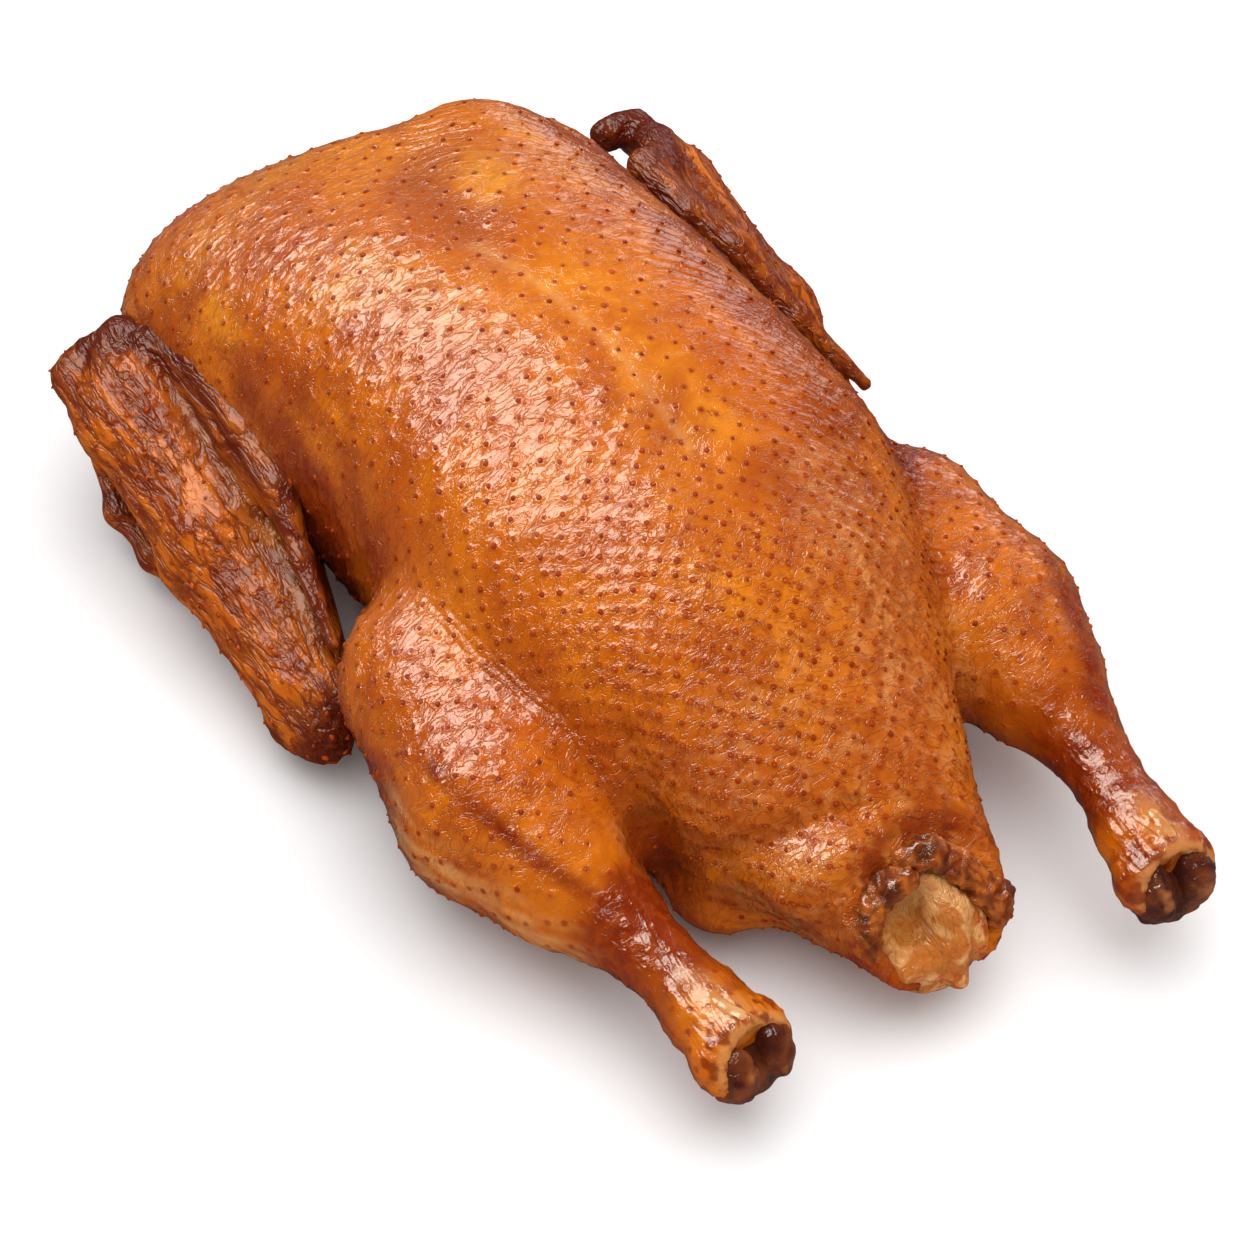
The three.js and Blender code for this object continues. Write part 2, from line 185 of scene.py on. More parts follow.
@dataclass(frozen=True)
class Limb:
    """A chain of tapered rods through places with a radius each.

    Attributes:
        places: x, y, z and radius of each place.
        blend: how round the bends between rods are.
    """

    places: tuple[Place, ...]
    blend: float = 9.0

    def distance(self, points: Array) -> Array:
        """Distance from the limb's surface.

        Args:
            points: the places, as (n, 3).

        Returns:
            The distances, negative inside.
        """
        nearest = None
        for start, end in zip(self.places, self.places[1:]):
            here = self._rod(points, np.array(start), np.array(end))
            nearest = here if nearest is None else smooth_union(nearest, here, self.blend)
        return nearest

    @staticmethod
    def _rod(points: Array, start: Array, end: Array) -> Array:
        """Distance from one tapered rod.

        Args:
            points: the places, as (n, 3).
            start: the rod's first end and its radius.
            end: its last end and radius.

        Returns:
            The distances, negative inside.
        """
        run = end[:3] - start[:3]
        off = points - start[:3]
        along = np.clip(off @ run / (run @ run), 0.0, 1.0)
        gap = np.linalg.norm(off - along[:, None] * run, axis=1)
        return gap - (start[3] + (end[3] - start[3]) * along)

    def along(self, points: Array) -> Array:
        """How far along the chain each point's nearest rod lies, from 0 to 1.

        Args:
            points: the places, as (n, 3).

        Returns:
            A share of the length for each point.
        """
        ends = np.array(self.places)
        lengths = np.linalg.norm(np.diff(ends[:, :3], axis=0), axis=1)
        before = np.concatenate([[0.0], np.cumsum(lengths)])
        best = np.full(len(points), np.inf)
        found = np.zeros(len(points))
        for i, length in enumerate(lengths):
            run = ends[i + 1, :3] - ends[i, :3]
            off = points - ends[i, :3]
            t = np.clip(off @ run / (run @ run), 0.0, 1.0)
            gap = np.linalg.norm(off - t[:, None] * run, axis=1)
            closer = gap < best
            best[closer] = gap[closer]
            found[closer] = (before[i] + t * length)[closer]
        return found / before[-1]


@dataclass(frozen=True)
class Ball:
    """A squashed ball in a turned frame.

    Attributes:
        middle: its centre.
        radii: its three half sizes.
        axes: its own axes as rows, upright if not given.
    """

    middle: Spot
    radii: Spot
    axes: tuple[Spot, Spot, Spot] = ((1, 0, 0), (0, 1, 0), (0, 0, 1))

    def distance(self, points: Array) -> Array:
        """Distance from the ball's surface.

        Args:
            points: the places, as (n, 3).

        Returns:
            The distances, negative inside.
        """
        local = (points - np.array(self.middle)) @ np.array(self.axes, float).T
        radii = np.array(self.radii)
        once = np.linalg.norm(local / radii, axis=1)
        twice = np.maximum(np.linalg.norm(local / radii**2, axis=1), 1e-6)
        return once * (once - 1.0) / twice


@dataclass(frozen=True)
class Cluster:
    """Several forms joined with rounded seams.

    Attributes:
        parts: the forms.
        blend: how round the seams are.
    """

    parts: tuple[Form, ...]
    blend: float = 4.0

    def distance(self, points: Array) -> Array:
        """Distance from the joined surface.

        Args:
            points: the places, as (n, 3).

        Returns:
            The distances, negative inside.
        """
        nearest = self.parts[0].distance(points)
        for part in self.parts[1:]:
            nearest = smooth_union(nearest, part.distance(points), self.blend)
        return nearest


@dataclass(frozen=True)
class Scooped:
    """A form with another one cut out of it.

    Attributes:
        solid: what is cut.
        tool: what is cut out.
        blend: how round the rim is.
    """

    solid: Form
    tool: Form
    blend: float = 2.0

    def distance(self, points: Array) -> Array:
        """Distance from what is left."""
        return smooth_cut(self.solid.distance(points), self.tool.distance(points), self.blend)


@dataclass(frozen=True)
class Section:
    """A cross section of the trunk.

    Attributes:
        y: where along the body it is.
        x: its middle.
        half: half its width.
        low: its lowest.
        high: its highest.
    """

    y: float
    x: float
    half: float
    low: float
    high: float


@dataclass(frozen=True)
class Trunk:
    """The breast, belly and back: smooth between its sections and closed at both ends.

    Attributes:
        breast_power: section shape above its middle; 2 is an ellipse and more is squarer.
        back_power: section shape below its middle.
        neck_end: where the front of the breast closes.
        neck_round: over what length it does.
        neck_skew: how much further the front reaches on the left.
        tail_end: where the tail closes.
        tail_round: over what length it does.
        end_power: how square both ends are.
        table_step: how finely the sections are filled in along the body.
        sections: the cross sections from the tail to the neck.
    """

    breast_power: float = 2.2
    back_power: float = 2.7
    neck_end: float = 166.0
    neck_round: float = 46.0
    neck_skew: float = 0.15
    tail_end: float = -152.0
    tail_round: float = 18.0
    end_power: float = 2.8
    table_step: float = 0.25
    sections: tuple[Section, ...] = (
        Section(-160, 6, 15, 19, 34),
        Section(-132, 5, 19.5, 17.5, 43),
        Section(-112, 3.8, 26.8, 12, 53),
        Section(-88, 0.6, 38.4, 4, 71),
        Section(-53, -1, 54.5, -2.2, 94),
        Section(-9, -1, 67, -2.2, 107.5),
        Section(44, -4, 67, -2.2, 113.5),
        Section(92, -8.5, 69, -0.5, 110),
        Section(132, -11.5, 73.5, 3.5, 98.5),
        Section(176, -13, 75, 9, 86),
    )

    def __post_init__(self) -> None:
        """Works the sections out closely along the trunk once."""
        rows = np.array([(s.y, s.x, s.half, s.low, s.high) for s in self.sections], float)
        last = len(rows) - 1
        stations = np.arange(rows[0, 0], rows[-1, 0] + self.table_step, self.table_step)
        i = np.clip(np.searchsorted(rows[:, 0], stations, side="right") - 1, 0, last - 1)
        before, start, end, after = (rows[np.clip(i + k, 0, last), 1:] for k in (-1, 0, 1, 2))
        t = ((stations - rows[i, 0]) / (rows[i + 1, 0] - rows[i, 0]))[:, None]
        bend = 2 * before - 5 * start + 4 * end - after
        twist = 3 * start - before - 3 * end + after
        object.__setattr__(self, "_stations", stations)
        object.__setattr__(self, "_table", start + 0.5 * ((end - before) * t + bend * t**2 + twist * t**3))

    def read(self, y: Array) -> list[Array]:
        """Middle, half width, lowest and highest of the section at each y."""
        return [np.interp(y, self._stations, self._table[:, k]) for k in range(4)]

    def ring(self, y: Array, turn: Array) -> Array:
        """Points of the sections at each y, a turn round from the keel; to the right is positive.

        Args:
            y: the places along the body.
            turn: how far round, in radians.

        Returns:
            The points, as (n, 3).
        """
        centre, half, low, high = self.read(y)
        out, up = np.sin(turn), np.cos(turn)
        share = 2 / np.where(up > 0, self.breast_power, self.back_power)
        x = centre + half * np.sign(out) * np.abs(out) ** share
        z = (low + high) / 2 + (high - low) / 2 * np.sign(up) * np.abs(up) ** share
        return np.column_stack([x, y, z])

    def ratio(self, points: Array) -> Array:
        """How far out each point is in its section, 1 on the surface.

        Args:
            points: the places, as (n, 3).

        Returns:
            The ratio for each point.
        """
        x, y, z = points.T
        centre, half, low, high = self.read(y)
        middle = (low + high) / 2
        power = np.where(z > middle, self.breast_power, self.back_power)
        u = np.abs(x - centre) / half
        v = np.abs(z - middle) / ((high - low) / 2)
        around = (u**power + v**power) ** (self.end_power / power)
        skewed = y + self.neck_skew * np.minimum(x, 0.0)
        front = np.maximum((skewed - self.neck_end + self.neck_round) / self.neck_round, 0)
        rear = np.maximum((self.tail_end + self.tail_round - y) / self.tail_round, 0)
        return (around + front**self.end_power + rear**self.end_power) ** (1 / self.end_power)

    def distance(self, points: Array) -> Array:
        """Distance from the trunk's surface.

        Args:
            points: the places, as (n, 3).

        Returns:
            The distances, negative inside.
        """
        step = 0.5
        least_slope = 0.004
        here = self.ratio(points)
        steep = np.zeros(len(points))
        for axis in range(3):
            beside = points.copy()
            beside[:, axis] += step
            steep += ((self.ratio(beside) - here) / step) ** 2
        return (here - 1.0) / np.maximum(np.sqrt(steep), least_slope)


@dataclass(frozen=True)
class EndFrame:
    """A frame at the cut end of a limb.

    Attributes:
        middle: the middle of the cut.
        across: the way across it.
        up: the way up it.
        out: the way out of it.
    """

    middle: Spot
    across: Spot
    up: Spot
    out: Spot

    @classmethod
    def facing(cls, middle: Array, out: Array, level: Array = np.array([1.0, 0.0, 0.0])) -> "EndFrame":
        """The frame of a cut that faces out, with across as near to level as it goes.

        Args:
            middle: the middle of the cut.
            out: the way out of it.
            level: the way that across keeps to.

        Returns:
            The frame.
        """
        out = out / np.linalg.norm(out)
        across = level - out * (level @ out)
        across /= np.linalg.norm(across)
        up = np.cross(out, across)
        return cls(tuple(middle), tuple(across), tuple(up), tuple(out))

    def place(self, across: float, up: float, out: float) -> Spot:
        """A point given in this frame."""
        spot = (
            np.array(self.middle)
            + across * np.array(self.across)
            + up * np.array(self.up)
            + out * np.array(self.out)
        )
        return tuple(float(v) for v in spot)

    def local(self, points: Array) -> Array:
        """Points seen from this frame, as across, up and out."""
        return (points - np.array(self.middle)) @ np.array([self.across, self.up, self.out]).T

    def ball(self, at: Spot, radii: Spot) -> Ball:
        """A squashed ball set in this frame."""
        return Ball(self.place(*at), radii, (self.across, self.up, self.out))

    def limb(self, places: tuple[Place, ...], blend: float) -> Limb:
        """A limb through places given in this frame."""
        return Limb(tuple((*self.place(*spot[:3]), spot[3]) for spot in places), blend)


@dataclass(frozen=True)
class EndCut:
    """A cut across a limb's end, with a hollow behind a raised rim.

    Attributes:
        at: the frame of the cut.
        reach: how far from the middle it cuts.
        hollow: half sizes of the hollow across, up and in.
        sink: how far in the hollow's middle lies.
        rim: how round the rim is.
    """

    at: EndFrame
    reach: float
    hollow: Spot
    sink: float = 0.0
    rim: float = 2.2

    def cut(self, points: Array, solid: Array) -> Array:
        """Distances from a form after the cut.

        Args:
            points: the places, as (n, 3).
            solid: their distances from the form before the cut.

        Returns:
            The distances, negative inside.
        """
        local = self.at.local(points)
        beyond = np.maximum(-local[:, 2], np.linalg.norm(local, axis=1) - self.reach)
        left = smooth_cut(solid, beyond, self.rim)
        return smooth_cut(left, self.at.ball((0, 0, -self.sink), self.hollow).distance(points), self.rim)


@dataclass(frozen=True)
class Leg:
    """A thigh and drumstick from the knee to the cut hock.

    Attributes:
        side: which side it is on.
        places: the meat round the bone.
        cut_out: how far past the last place the cut is.
        cut_lean: how far the cut faces up, in radians.
        cut_reach: how far from its middle the cut reaches.
        blend: how softly the meat runs from one place into the next.
    """

    side: Side
    places: tuple[Place, ...]
    blend: float = 8.0
    cut_out: float = 6.6
    cut_lean: float = 0.5
    cut_reach: float = 26.0

    @property
    def limb(self) -> Limb:
        """The leg's rods."""
        return Limb(self.places, self.blend)

    def ring(self, y: Array, turn: Array) -> Array:
        """Points round the rods at each y, a turn from their top; away from the body is positive.

        Args:
            y: the places along the body.
            turn: how far round, in radians.

        Returns:
            The points, as (n, 3).
        """
        rods = np.array(self.places)[::-1]
        x, z, radius = (np.interp(y, rods[:, 1], rods[:, k]) for k in (0, 2, 3))
        return np.column_stack([x + self.side.value * radius * np.sin(turn), y, z + radius * np.cos(turn)])

    @property
    def knobs(self) -> Form:
        """Bulges of the joint under the skin beside the cut."""
        at = self.hock
        left = at.ball((-8.5, 2.5, -6.5), (4.6, 7.5, 6.0))
        right = at.ball((8.5, 3.6, -6.5), (4.6, 7.0, 6.0))
        return Cluster((left, right), 2.0)

    @property
    def run(self) -> Array:
        """The way from the knee to the hock."""
        way = np.array(self.places[-1][:3]) - np.array(self.places[1][:3])
        return way / np.linalg.norm(way)

    @property
    def hock(self) -> EndFrame:
        """The frame of the cut at the hock."""
        middle = np.array(self.places[-1][:3]) + self.run * self.cut_out
        c, s = math.cos(self.cut_lean), math.sin(self.cut_lean)
        x, y, z = self.run
        return EndFrame.facing(middle, np.array([x, c * y + s * z, -s * y + c * z]))

    @property
    def cut(self) -> EndCut:
        """The cut across the hock."""
        radius = self.places[-1][3]
        return EndCut(self.hock, self.cut_reach, (radius * 0.9, radius * 0.9, 3.4), 0.2, 1.2)


LEFT_LEG = Leg(
    Side.LEFT,
    (
        (-66.0, -3, 40.5, 27.8),
        (-69.8, -42, 34.3, 27.3),
        (-66.6, -67, 31.2, 19.4),
        (-62.8, -86, 29.6, 10.3),
        (-59.8, -101, 28.0, 7.8),
        (-57.0, -118, 26.8, 9.4),
        (-54.8, -132, 26.3, 11.3),
    ),
)
RIGHT_LEG = Leg(
    Side.RIGHT,
    (
        (61.8, -23.5, 41.4, 26.5),
        (67.3, -58, 38.8, 24.0),
        (68.5, -80, 37.0, 16.4),
        (67.9, -98, 35.5, 9.6),
        (66.5, -113, 34.2, 7.2),
        (64.8, -129, 32.0, 9.4),
        (63.6, -143, 30.5, 11.2),
    ),
)


@dataclass(frozen=True)
class Vent:
    """The slanting cut across the tail and what shows in it.

    Attributes:
        middle: the middle of the cut.
        lean: how far the cut leans from upright towards the breast, in radians.
        hollow: half the width, height and depth of the hollow in it.
    """

    middle: Spot = (4.5, -126.5, 32.5)
    lean: float = 0.86
    hollow: Spot = (15.5, 17.5, 7.0)

    @property
    def at(self) -> EndFrame:
        """The frame of the cut."""
        out = np.array([0, -math.sin(self.lean), math.cos(self.lean)])
        return EndFrame.facing(np.array(self.middle), out)

    @property
    def cut(self) -> EndCut:
        """The cut itself."""
        return EndCut(self.at, reach=44.0, hollow=self.hollow, sink=1.0, rim=3.0)


@dataclass(frozen=True)
class Carcass:
    """Trunk, neck stump and legs in one skin, with its cut ends and its flat underside.

    Attributes:
        trunk: the breast, belly and back.
        neck: the neck stump.
        legs: the thighs and drumsticks.
        vent: the cut at the tail.
        crop: the full breast in front of the keel, to the right.
        crop_seam: how softly it runs into the trunk.
        rump: the fat of the rump under the tail, to the left.
        rump_seam: how softly that runs in.
        neck_seam: how round the seam at the neck stump is.
        leg_seam: how round the seams at the thighs are.
        rest_edge: how round the edge of the flat patch that it rests on is.
        low: the low corner of the room it takes up.
        high: the high corner of that room.
    """

    trunk: Trunk = field(default_factory=Trunk)
    neck: Limb = Limb(((-3.5, 123, 40, 31), (-3.5, 155, 38, 21)), 14.0)
    legs: tuple[Leg, ...] = (LEFT_LEG, RIGHT_LEG)
    vent: Vent = field(default_factory=Vent)
    crop: Ball = Ball((19.0, 123.0, 82.0), (17.0, 24.0, 16.0))
    crop_seam: float = 12.0
    rump: Ball = Ball((-31.0, -82.0, 16.5), (11.5, 12.5, 8.8))
    rump_seam: float = 8.0
    neck_seam: float = 14.0
    leg_seam: float = 9.0
    rest_edge: float = 2.5
    low: Spot = (-112, -164, -3)
    high: Spot = (108, 182, 122)

    def distance(self, points: Array) -> Array:
        """Distance from the skin.

        Args:
            points: the places, as (n, 3).

        Returns:
            The distances, negative inside.
        """
        d = smooth_union(self.trunk.distance(points), self.neck.distance(points), self.neck_seam)
        d = smooth_union(d, self.crop.distance(points), self.crop_seam)
        d = smooth_union(d, self.rump.distance(points), self.rump_seam)
        for leg in self.legs:
            d = smooth_union(d, leg.limb.distance(points), self.leg_seam)
            d = smooth_union(d, leg.knobs.distance(points), 4.0)
        d = self.vent.cut.cut(points, d)
        for leg in self.legs:
            d = leg.cut.cut(points, d)
        return smooth_cut(d, points[:, 2], self.rest_edge)


# ---------------------------------------------------------------- meshes


@dataclass
class Surface:
    """A mesh being worked on.

    Attributes:
        points: its points.
        normals: the way out at each point.
        faces: each face's points.
        values: named values at the points.
    """

    points: Array
    normals: Array
    faces: Array
    values: dict[str, Array] = field(default_factory=dict)

    def raise_by(self, height: Array) -> None:
        """Moves every point along its normal."""
        self.points = self.points + self.normals * height[:, None]


@dataclass(frozen=True)
class NetMaker:
    """Lays an even net of quads over a form.

    Attributes:
        cell: how far apart the net's lines are.
        leap: how many cells a step of the first rough look takes.
        band: how thick a layer round the surface is looked at closely.
    """

    cell: float
    leap: int = 3
    band: float = 3.5

    def over(self, form: Form, low: Spot, high: Spot) -> Surface:
        """Meshes a form inside a box.

        Args:
            form: the form to mesh.
            low: the box's lowest corner.
            high: the box's highest corner.

        Returns:
            The surface, with its points settled on the form.
        """
        stride = self.cell * self.leap
        counts = [int(math.ceil((high[k] - low[k]) / stride)) + 1 for k in range(3)]
        rough = form.distance(self._lattice(low, stride, counts)).reshape(counts)
        fine = rough
        for axis in range(3):
            fine = self._spread(fine, axis)
        shape = fine.shape
        close = np.argwhere(np.abs(fine) < self.band)
        exact = form.distance(np.array(low) + close * self.cell)
        fine[tuple(close.T)] = exact
        grid = openvdb.FloatGrid(self.band)
        grid.copyFromArray(fine.astype(np.float32))
        grid.transform = openvdb.createLinearTransform(self.cell)
        points, _, quads = grid.convertToPolygons(isovalue=0.0, adaptivity=0.0)
        log.info("net of %d cells, %d points, %d faces", int(np.prod(shape)), len(points), len(quads))
        settled, normals = settle(form, points.astype(float) + np.array(low), self.cell * 0.5)
        return Surface(settled, normals, quads.astype(np.int64))

    @staticmethod
    def _lattice(low: Spot, stride: float, counts: list[int]) -> Array:
        """Points of a box lattice."""
        lines = [low[k] + stride * np.arange(counts[k]) for k in range(3)]
        return np.stack(np.meshgrid(*lines, indexing="ij"), axis=-1).reshape(-1, 3)

    def _spread(self, values: Array, axis: int) -> Array:
        """Values filled in between the rough ones along an axis.

        Args:
            values: the rough values.
            axis: the axis.

        Returns:
            The values on the finer steps.
        """
        count = (values.shape[axis] - 1) * self.leap + 1
        at = np.arange(count) / self.leap
        below = np.minimum(at.astype(int), values.shape[axis] - 2)
        shape = [1, 1, 1]
        shape[axis] = count
        share = (at - below).reshape(shape)
        return np.take(values, below, axis) * (1 - share) + np.take(values, below + 1, axis) * share


class Noise:
    """Smooth random unevenness in space, the same on every run."""

    SIZE = 256

    def __init__(self, seed: int) -> None:
        """Draws the slopes at the lattice's corners.

        Args:
            seed: what the draws start from.
        """
        draw = np.random.default_rng(seed)
        self.order = draw.permutation(self.SIZE)
        slopes = draw.normal(size=(self.SIZE, 3))
        self.slopes = slopes / np.linalg.norm(slopes, axis=1)[:, None]

    def at(self, points: Array, cell: float | Spot) -> Array:
        """Unevenness from about -1 to 1.

        Args:
            points: where, as (n, 3).
            cell: the size of a bump, or its size along each axis.

        Returns:
            One value for each point.
        """
        scaled = points / np.array(cell, float)
        base = np.floor(scaled).astype(int)
        part = scaled - base
        eased = part**3 * (part * (part * 6 - 15) + 10)
        total = np.zeros(len(points))
        for corner in np.ndindex(2, 2, 2):
            i, j, k = (base + corner).T
            key = self.order[(self.order[(self.order[i % self.SIZE] + j) % self.SIZE] + k) % self.SIZE]
            rise = ((part - corner) * self.slopes[key]).sum(1)
            weight = np.where(np.array(corner) == 1, eased, 1 - eased).prod(1)
            total += rise * weight
        return total * 1.6


class Bench:
    """Turns finished surfaces into Blender objects in the row frame."""

    # The middle of the two shank bones, seen from the point under the keel.
    BONES_MIDDLE = (2.1204, -98.6581)
    MM = 0.001

    def __init__(self) -> None:
        """Finds the point under the keel from where the frame holds the shank bones."""
        corners = [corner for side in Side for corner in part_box(f"shank_bone_{side.word}")]
        middle = sum(corners, Vector((0, 0, 0))) / len(corners)
        self.origin = np.array([middle.x, middle.y, 0.0]) - np.array([*self.BONES_MIDDLE, 0.0]) * self.MM

    def metres(self, points: Array) -> Array:
        """Points from millimetres under the keel to metres in the row frame."""
        return points * self.MM + self.origin

    def make(
        self,
        name: str,
        surface: Surface,
        material: Material,
        slot: Slot,
        nodes: tuple[str, ...],
    ) -> bpy.types.Object:
        """Makes a piece that rides on the frame.

        Args:
            name: the piece's name.
            surface: its finished surface.
            material: its finish.
            slot: the record's material slot; not used.
            nodes: the CAD nodes that it stands for.

        Returns:
            The new object.
        """
        mesh = bpy.data.meshes.new(name)
        points = self.metres(surface.points)
        sides = surface.faces.shape[1]
        mesh.vertices.add(len(points))
        mesh.vertices.foreach_set("co", points.astype(np.float32).ravel())
        mesh.loops.add(surface.faces.size)
        mesh.loops.foreach_set("vertex_index", surface.faces.astype(np.int32).ravel())
        mesh.polygons.add(len(surface.faces))
        mesh.polygons.foreach_set("loop_start", np.arange(0, surface.faces.size, sides, dtype=np.int32))
        mesh.polygons.foreach_set("use_smooth", np.ones(len(surface.faces), bool))
        mesh.update(calc_edges=True)
        for key, value in surface.values.items():
            kind, word = ("FLOAT_VECTOR", "vector") if value.ndim == 2 else ("FLOAT", "value")
            mesh.attributes.new(key, kind, "POINT").data.foreach_set(word, value.astype(np.float32).ravel())
        mesh.materials.append(material)
        piece = bpy.data.objects.new(name, mesh)
        bpy.context.scene.collection.objects.link(piece)
        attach(piece, "root")
        if nodes:
            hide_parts(*nodes)
        log.info("%s: %d faces", name, len(surface.faces))
        return piece


# ---------------------------------------------------------------- quills


@dataclass(frozen=True)
class QuillField:
    """The follicles left by the plucked quills.

    Attributes:
        points: where they are on the skin.
        normals: the way out of the skin at each.
    """

    points: Array
    normals: Array

    def nearest(self, points: Array) -> tuple[Array, Array]:
        """Which follicle each point is nearest to, and how far off.

        Args:
            points: the places, as (n, 3).

        Returns:
            The number of the follicle and the distance, for each point.
        """
        tree = KDTree(len(self.points))
        for i, spot in enumerate(self.points):
            tree.insert(spot, i)
        tree.balance()
        found = [tree.find(spot) for spot in points]
        return np.array([hit[1] for hit in found]), np.array([hit[2] for hit in found])


def thin_out(offered: Array, first: int, least: float, widest: float) -> Array:
    """Keeps places that aren't crowded.

    Args:
        offered: the places, best first.
        first: how many of them only need the least room.
        least: how far apart those are kept.
        widest: how far from all others a place further down the list must be.

    Returns:
        The places kept.
    """
    boxes: dict[tuple[int, ...], list[Array]] = {}
    kept = []
    for i, spot in enumerate(offered):
        room = least if i < first else widest
        key = tuple(int(v) for v in np.floor(spot / widest))
        around = [
            other
            for step in np.ndindex(3, 3, 3)
            for other in boxes.get((key[0] + step[0] - 1, key[1] + step[1] - 1, key[2] + step[2] - 1), ())
        ]
        if around and (((np.array(around) - spot) ** 2).sum(1) < room * room).any():
            continue
        boxes.setdefault(key, []).append(spot)
        kept.append(spot)
    return np.array(kept)


@dataclass(frozen=True)
class QuillLayout:
    """Sets the follicles out in rows round the body, every other row shifted by half a place.

    Attributes:
        row: how far apart rows round the body are.
        place: how far apart follicles in a row are.
        jitter: how far each is off its place.
        least: follicles nearer to each other than this are thinned out.
        widest: a bare spot wider than this gets a follicle of its own.
        seed: starts the random draws.
    """

    row: float = 5.0
    place: float = 10.0
    jitter: float = 0.7
    least: float = 2.9
    widest: float = 6.0
    seed: int = 11

    def over(self, carcass: Carcass, net: Surface) -> QuillField:
        """Lays the follicles on a carcass.

        Args:
            carcass: the form.
            net: its mesh, which offers places for bare spots.

        Returns:
            The follicles.
        """
        draw = np.random.default_rng(self.seed)
        spots = [self._on_trunk(carcass)]
        for leg in carcass.legs:
            spots.append(self._on_leg(leg))
        seeds = np.concatenate(spots)
        seeds += draw.normal(scale=self.jitter, size=seeds.shape) * self.closeness(seeds[:, 1])[:, None]
        apart = carcass.distance(seeds)
        seeds = seeds[np.abs(apart) < 3.0]
        seeds = settle(carcass, seeds, 2.0, 3)[0]
        offered = net.points[draw.permutation(len(net.points))[:9000]]
        kept = thin_out(np.concatenate([seeds, offered]), len(seeds), self.least, self.widest)
        kept = kept[kept[:, 2] > 1.0]
        points, normals = settle(carcass, kept, 1.0, 2)
        return QuillField(points, normals)

    @staticmethod
    def closeness(y: Array) -> Array:
        """How much closer together follicles are along the belly, as a share of their usual distance."""
        return 0.6 + 0.4 * ease(y, -60.0, 40.0)

    def _on_trunk(self, carcass: Carcass) -> Array:
        """Rows round the trunk, a row's distance apart along its length.

        Args:
            carcass: the form.

        Returns:
            The places, as (n, 3).
        """
        trunk = carcass.trunk
        angles = np.linspace(0.0, 2.0 * math.pi, 181)
        stations = np.arange(-150.0, 166.0, 1.0)
        rings = np.array([self._ring(trunk, y, angles) for y in stations])
        steps = np.linalg.norm(np.diff(rings, axis=0), axis=2).mean(1)
        lengths = np.concatenate([[0.0], np.cumsum(steps)])
        found = []
        length, i = 0.0, 0
        while length < lengths[-1]:
            y = float(np.interp(length, lengths, stations))
            close = float(self.closeness(np.array([y]))[0])
            ring = self._ring(trunk, y, angles)
            found.append(self._spaced(ring, self.place * close, (i % 2) * self.place * close / 2))
            length += self.row * close
            i += 1
        return np.concatenate(found)

    @staticmethod
    def _ring(trunk: Trunk, y: float, angles: Array) -> Array:
        """The outline of the trunk at y, from the keel round and back to it.

        Args:
            trunk: the form.
            y: where along the body.
            angles: how far round, in radians.

        Returns:
            The outline, as (n, 3).
        """
        centre, _, low, high = (float(v[0]) for v in trunk.read(np.array([y])))
        middle = np.array([centre, y, (low + high) / 2])
        ways = np.stack([np.sin(angles), np.zeros_like(angles), np.cos(angles)], axis=1)
        inner = np.zeros(len(angles))
        outer = np.full(len(angles), 130.0)
        for _ in range(24):
            trial = (inner + outer) / 2
            inside = trunk.ratio(middle + ways * trial[:, None]) < 1.0
            inner = np.where(inside, trial, inner)
            outer = np.where(inside, outer, trial)
        return middle + ways * inner[:, None]

    def _on_leg(self, leg: Leg) -> Array:
        """Rows round a leg, square to its run.

        Args:
            leg: the form.

        Returns:
            The places, as (n, 3).
        """
        ends = np.array(leg.places)
        lengths = np.linalg.norm(np.diff(ends[:, :3], axis=0), axis=1)
        before = np.concatenate([[0.0], np.cumsum(lengths)])
        across = np.cross(leg.run, (0.0, 0.0, 1.0))
        across /= np.linalg.norm(across)
        up = np.cross(across, leg.run)
        angles = np.linspace(0.0, 2.0 * math.pi, 61)
        ways = np.outer(np.sin(angles), across) + np.outer(np.cos(angles), up)
        found = []
        for i, length in enumerate(np.arange(-0.9 * ends[0, 3], before[-1] + 4.0, self.row * 0.8)):
            here = [float(np.interp(length, before, ends[:, k])) for k in range(4)]
            middle = np.array(here[:3]) + leg.run * min(length, 0.0)
            radius = math.sqrt(max(here[3] ** 2 - min(length, 0.0) ** 2, 1.0))
            place = self.place * min(0.85, 0.5 + here[3] / 60.0)
            found.append(self._spaced(middle + ways * radius, place, (i % 2) * place / 2))
        return np.concatenate(found)

    @staticmethod
    def _spaced(ring: Array, pitch: float, start: float) -> Array:
        """Points a pitch apart along both halves of a closed outline.

        Args:
            ring: the outline.
            pitch: how far apart they are.
            start: how far along the first one is.

        Returns:
            The places, as (n, 3).
        """
        steps = np.linalg.norm(np.diff(ring, axis=0), axis=1)
        lengths = np.concatenate([[0.0], np.cumsum(steps)])
        half = lengths[-1] / 2
        out = np.arange(start, half, pitch)
        wanted = np.concatenate([out, lengths[-1] - out[out > 0]])
        return np.stack([np.interp(wanted, lengths, ring[:, k]) for k in range(3)], axis=1)


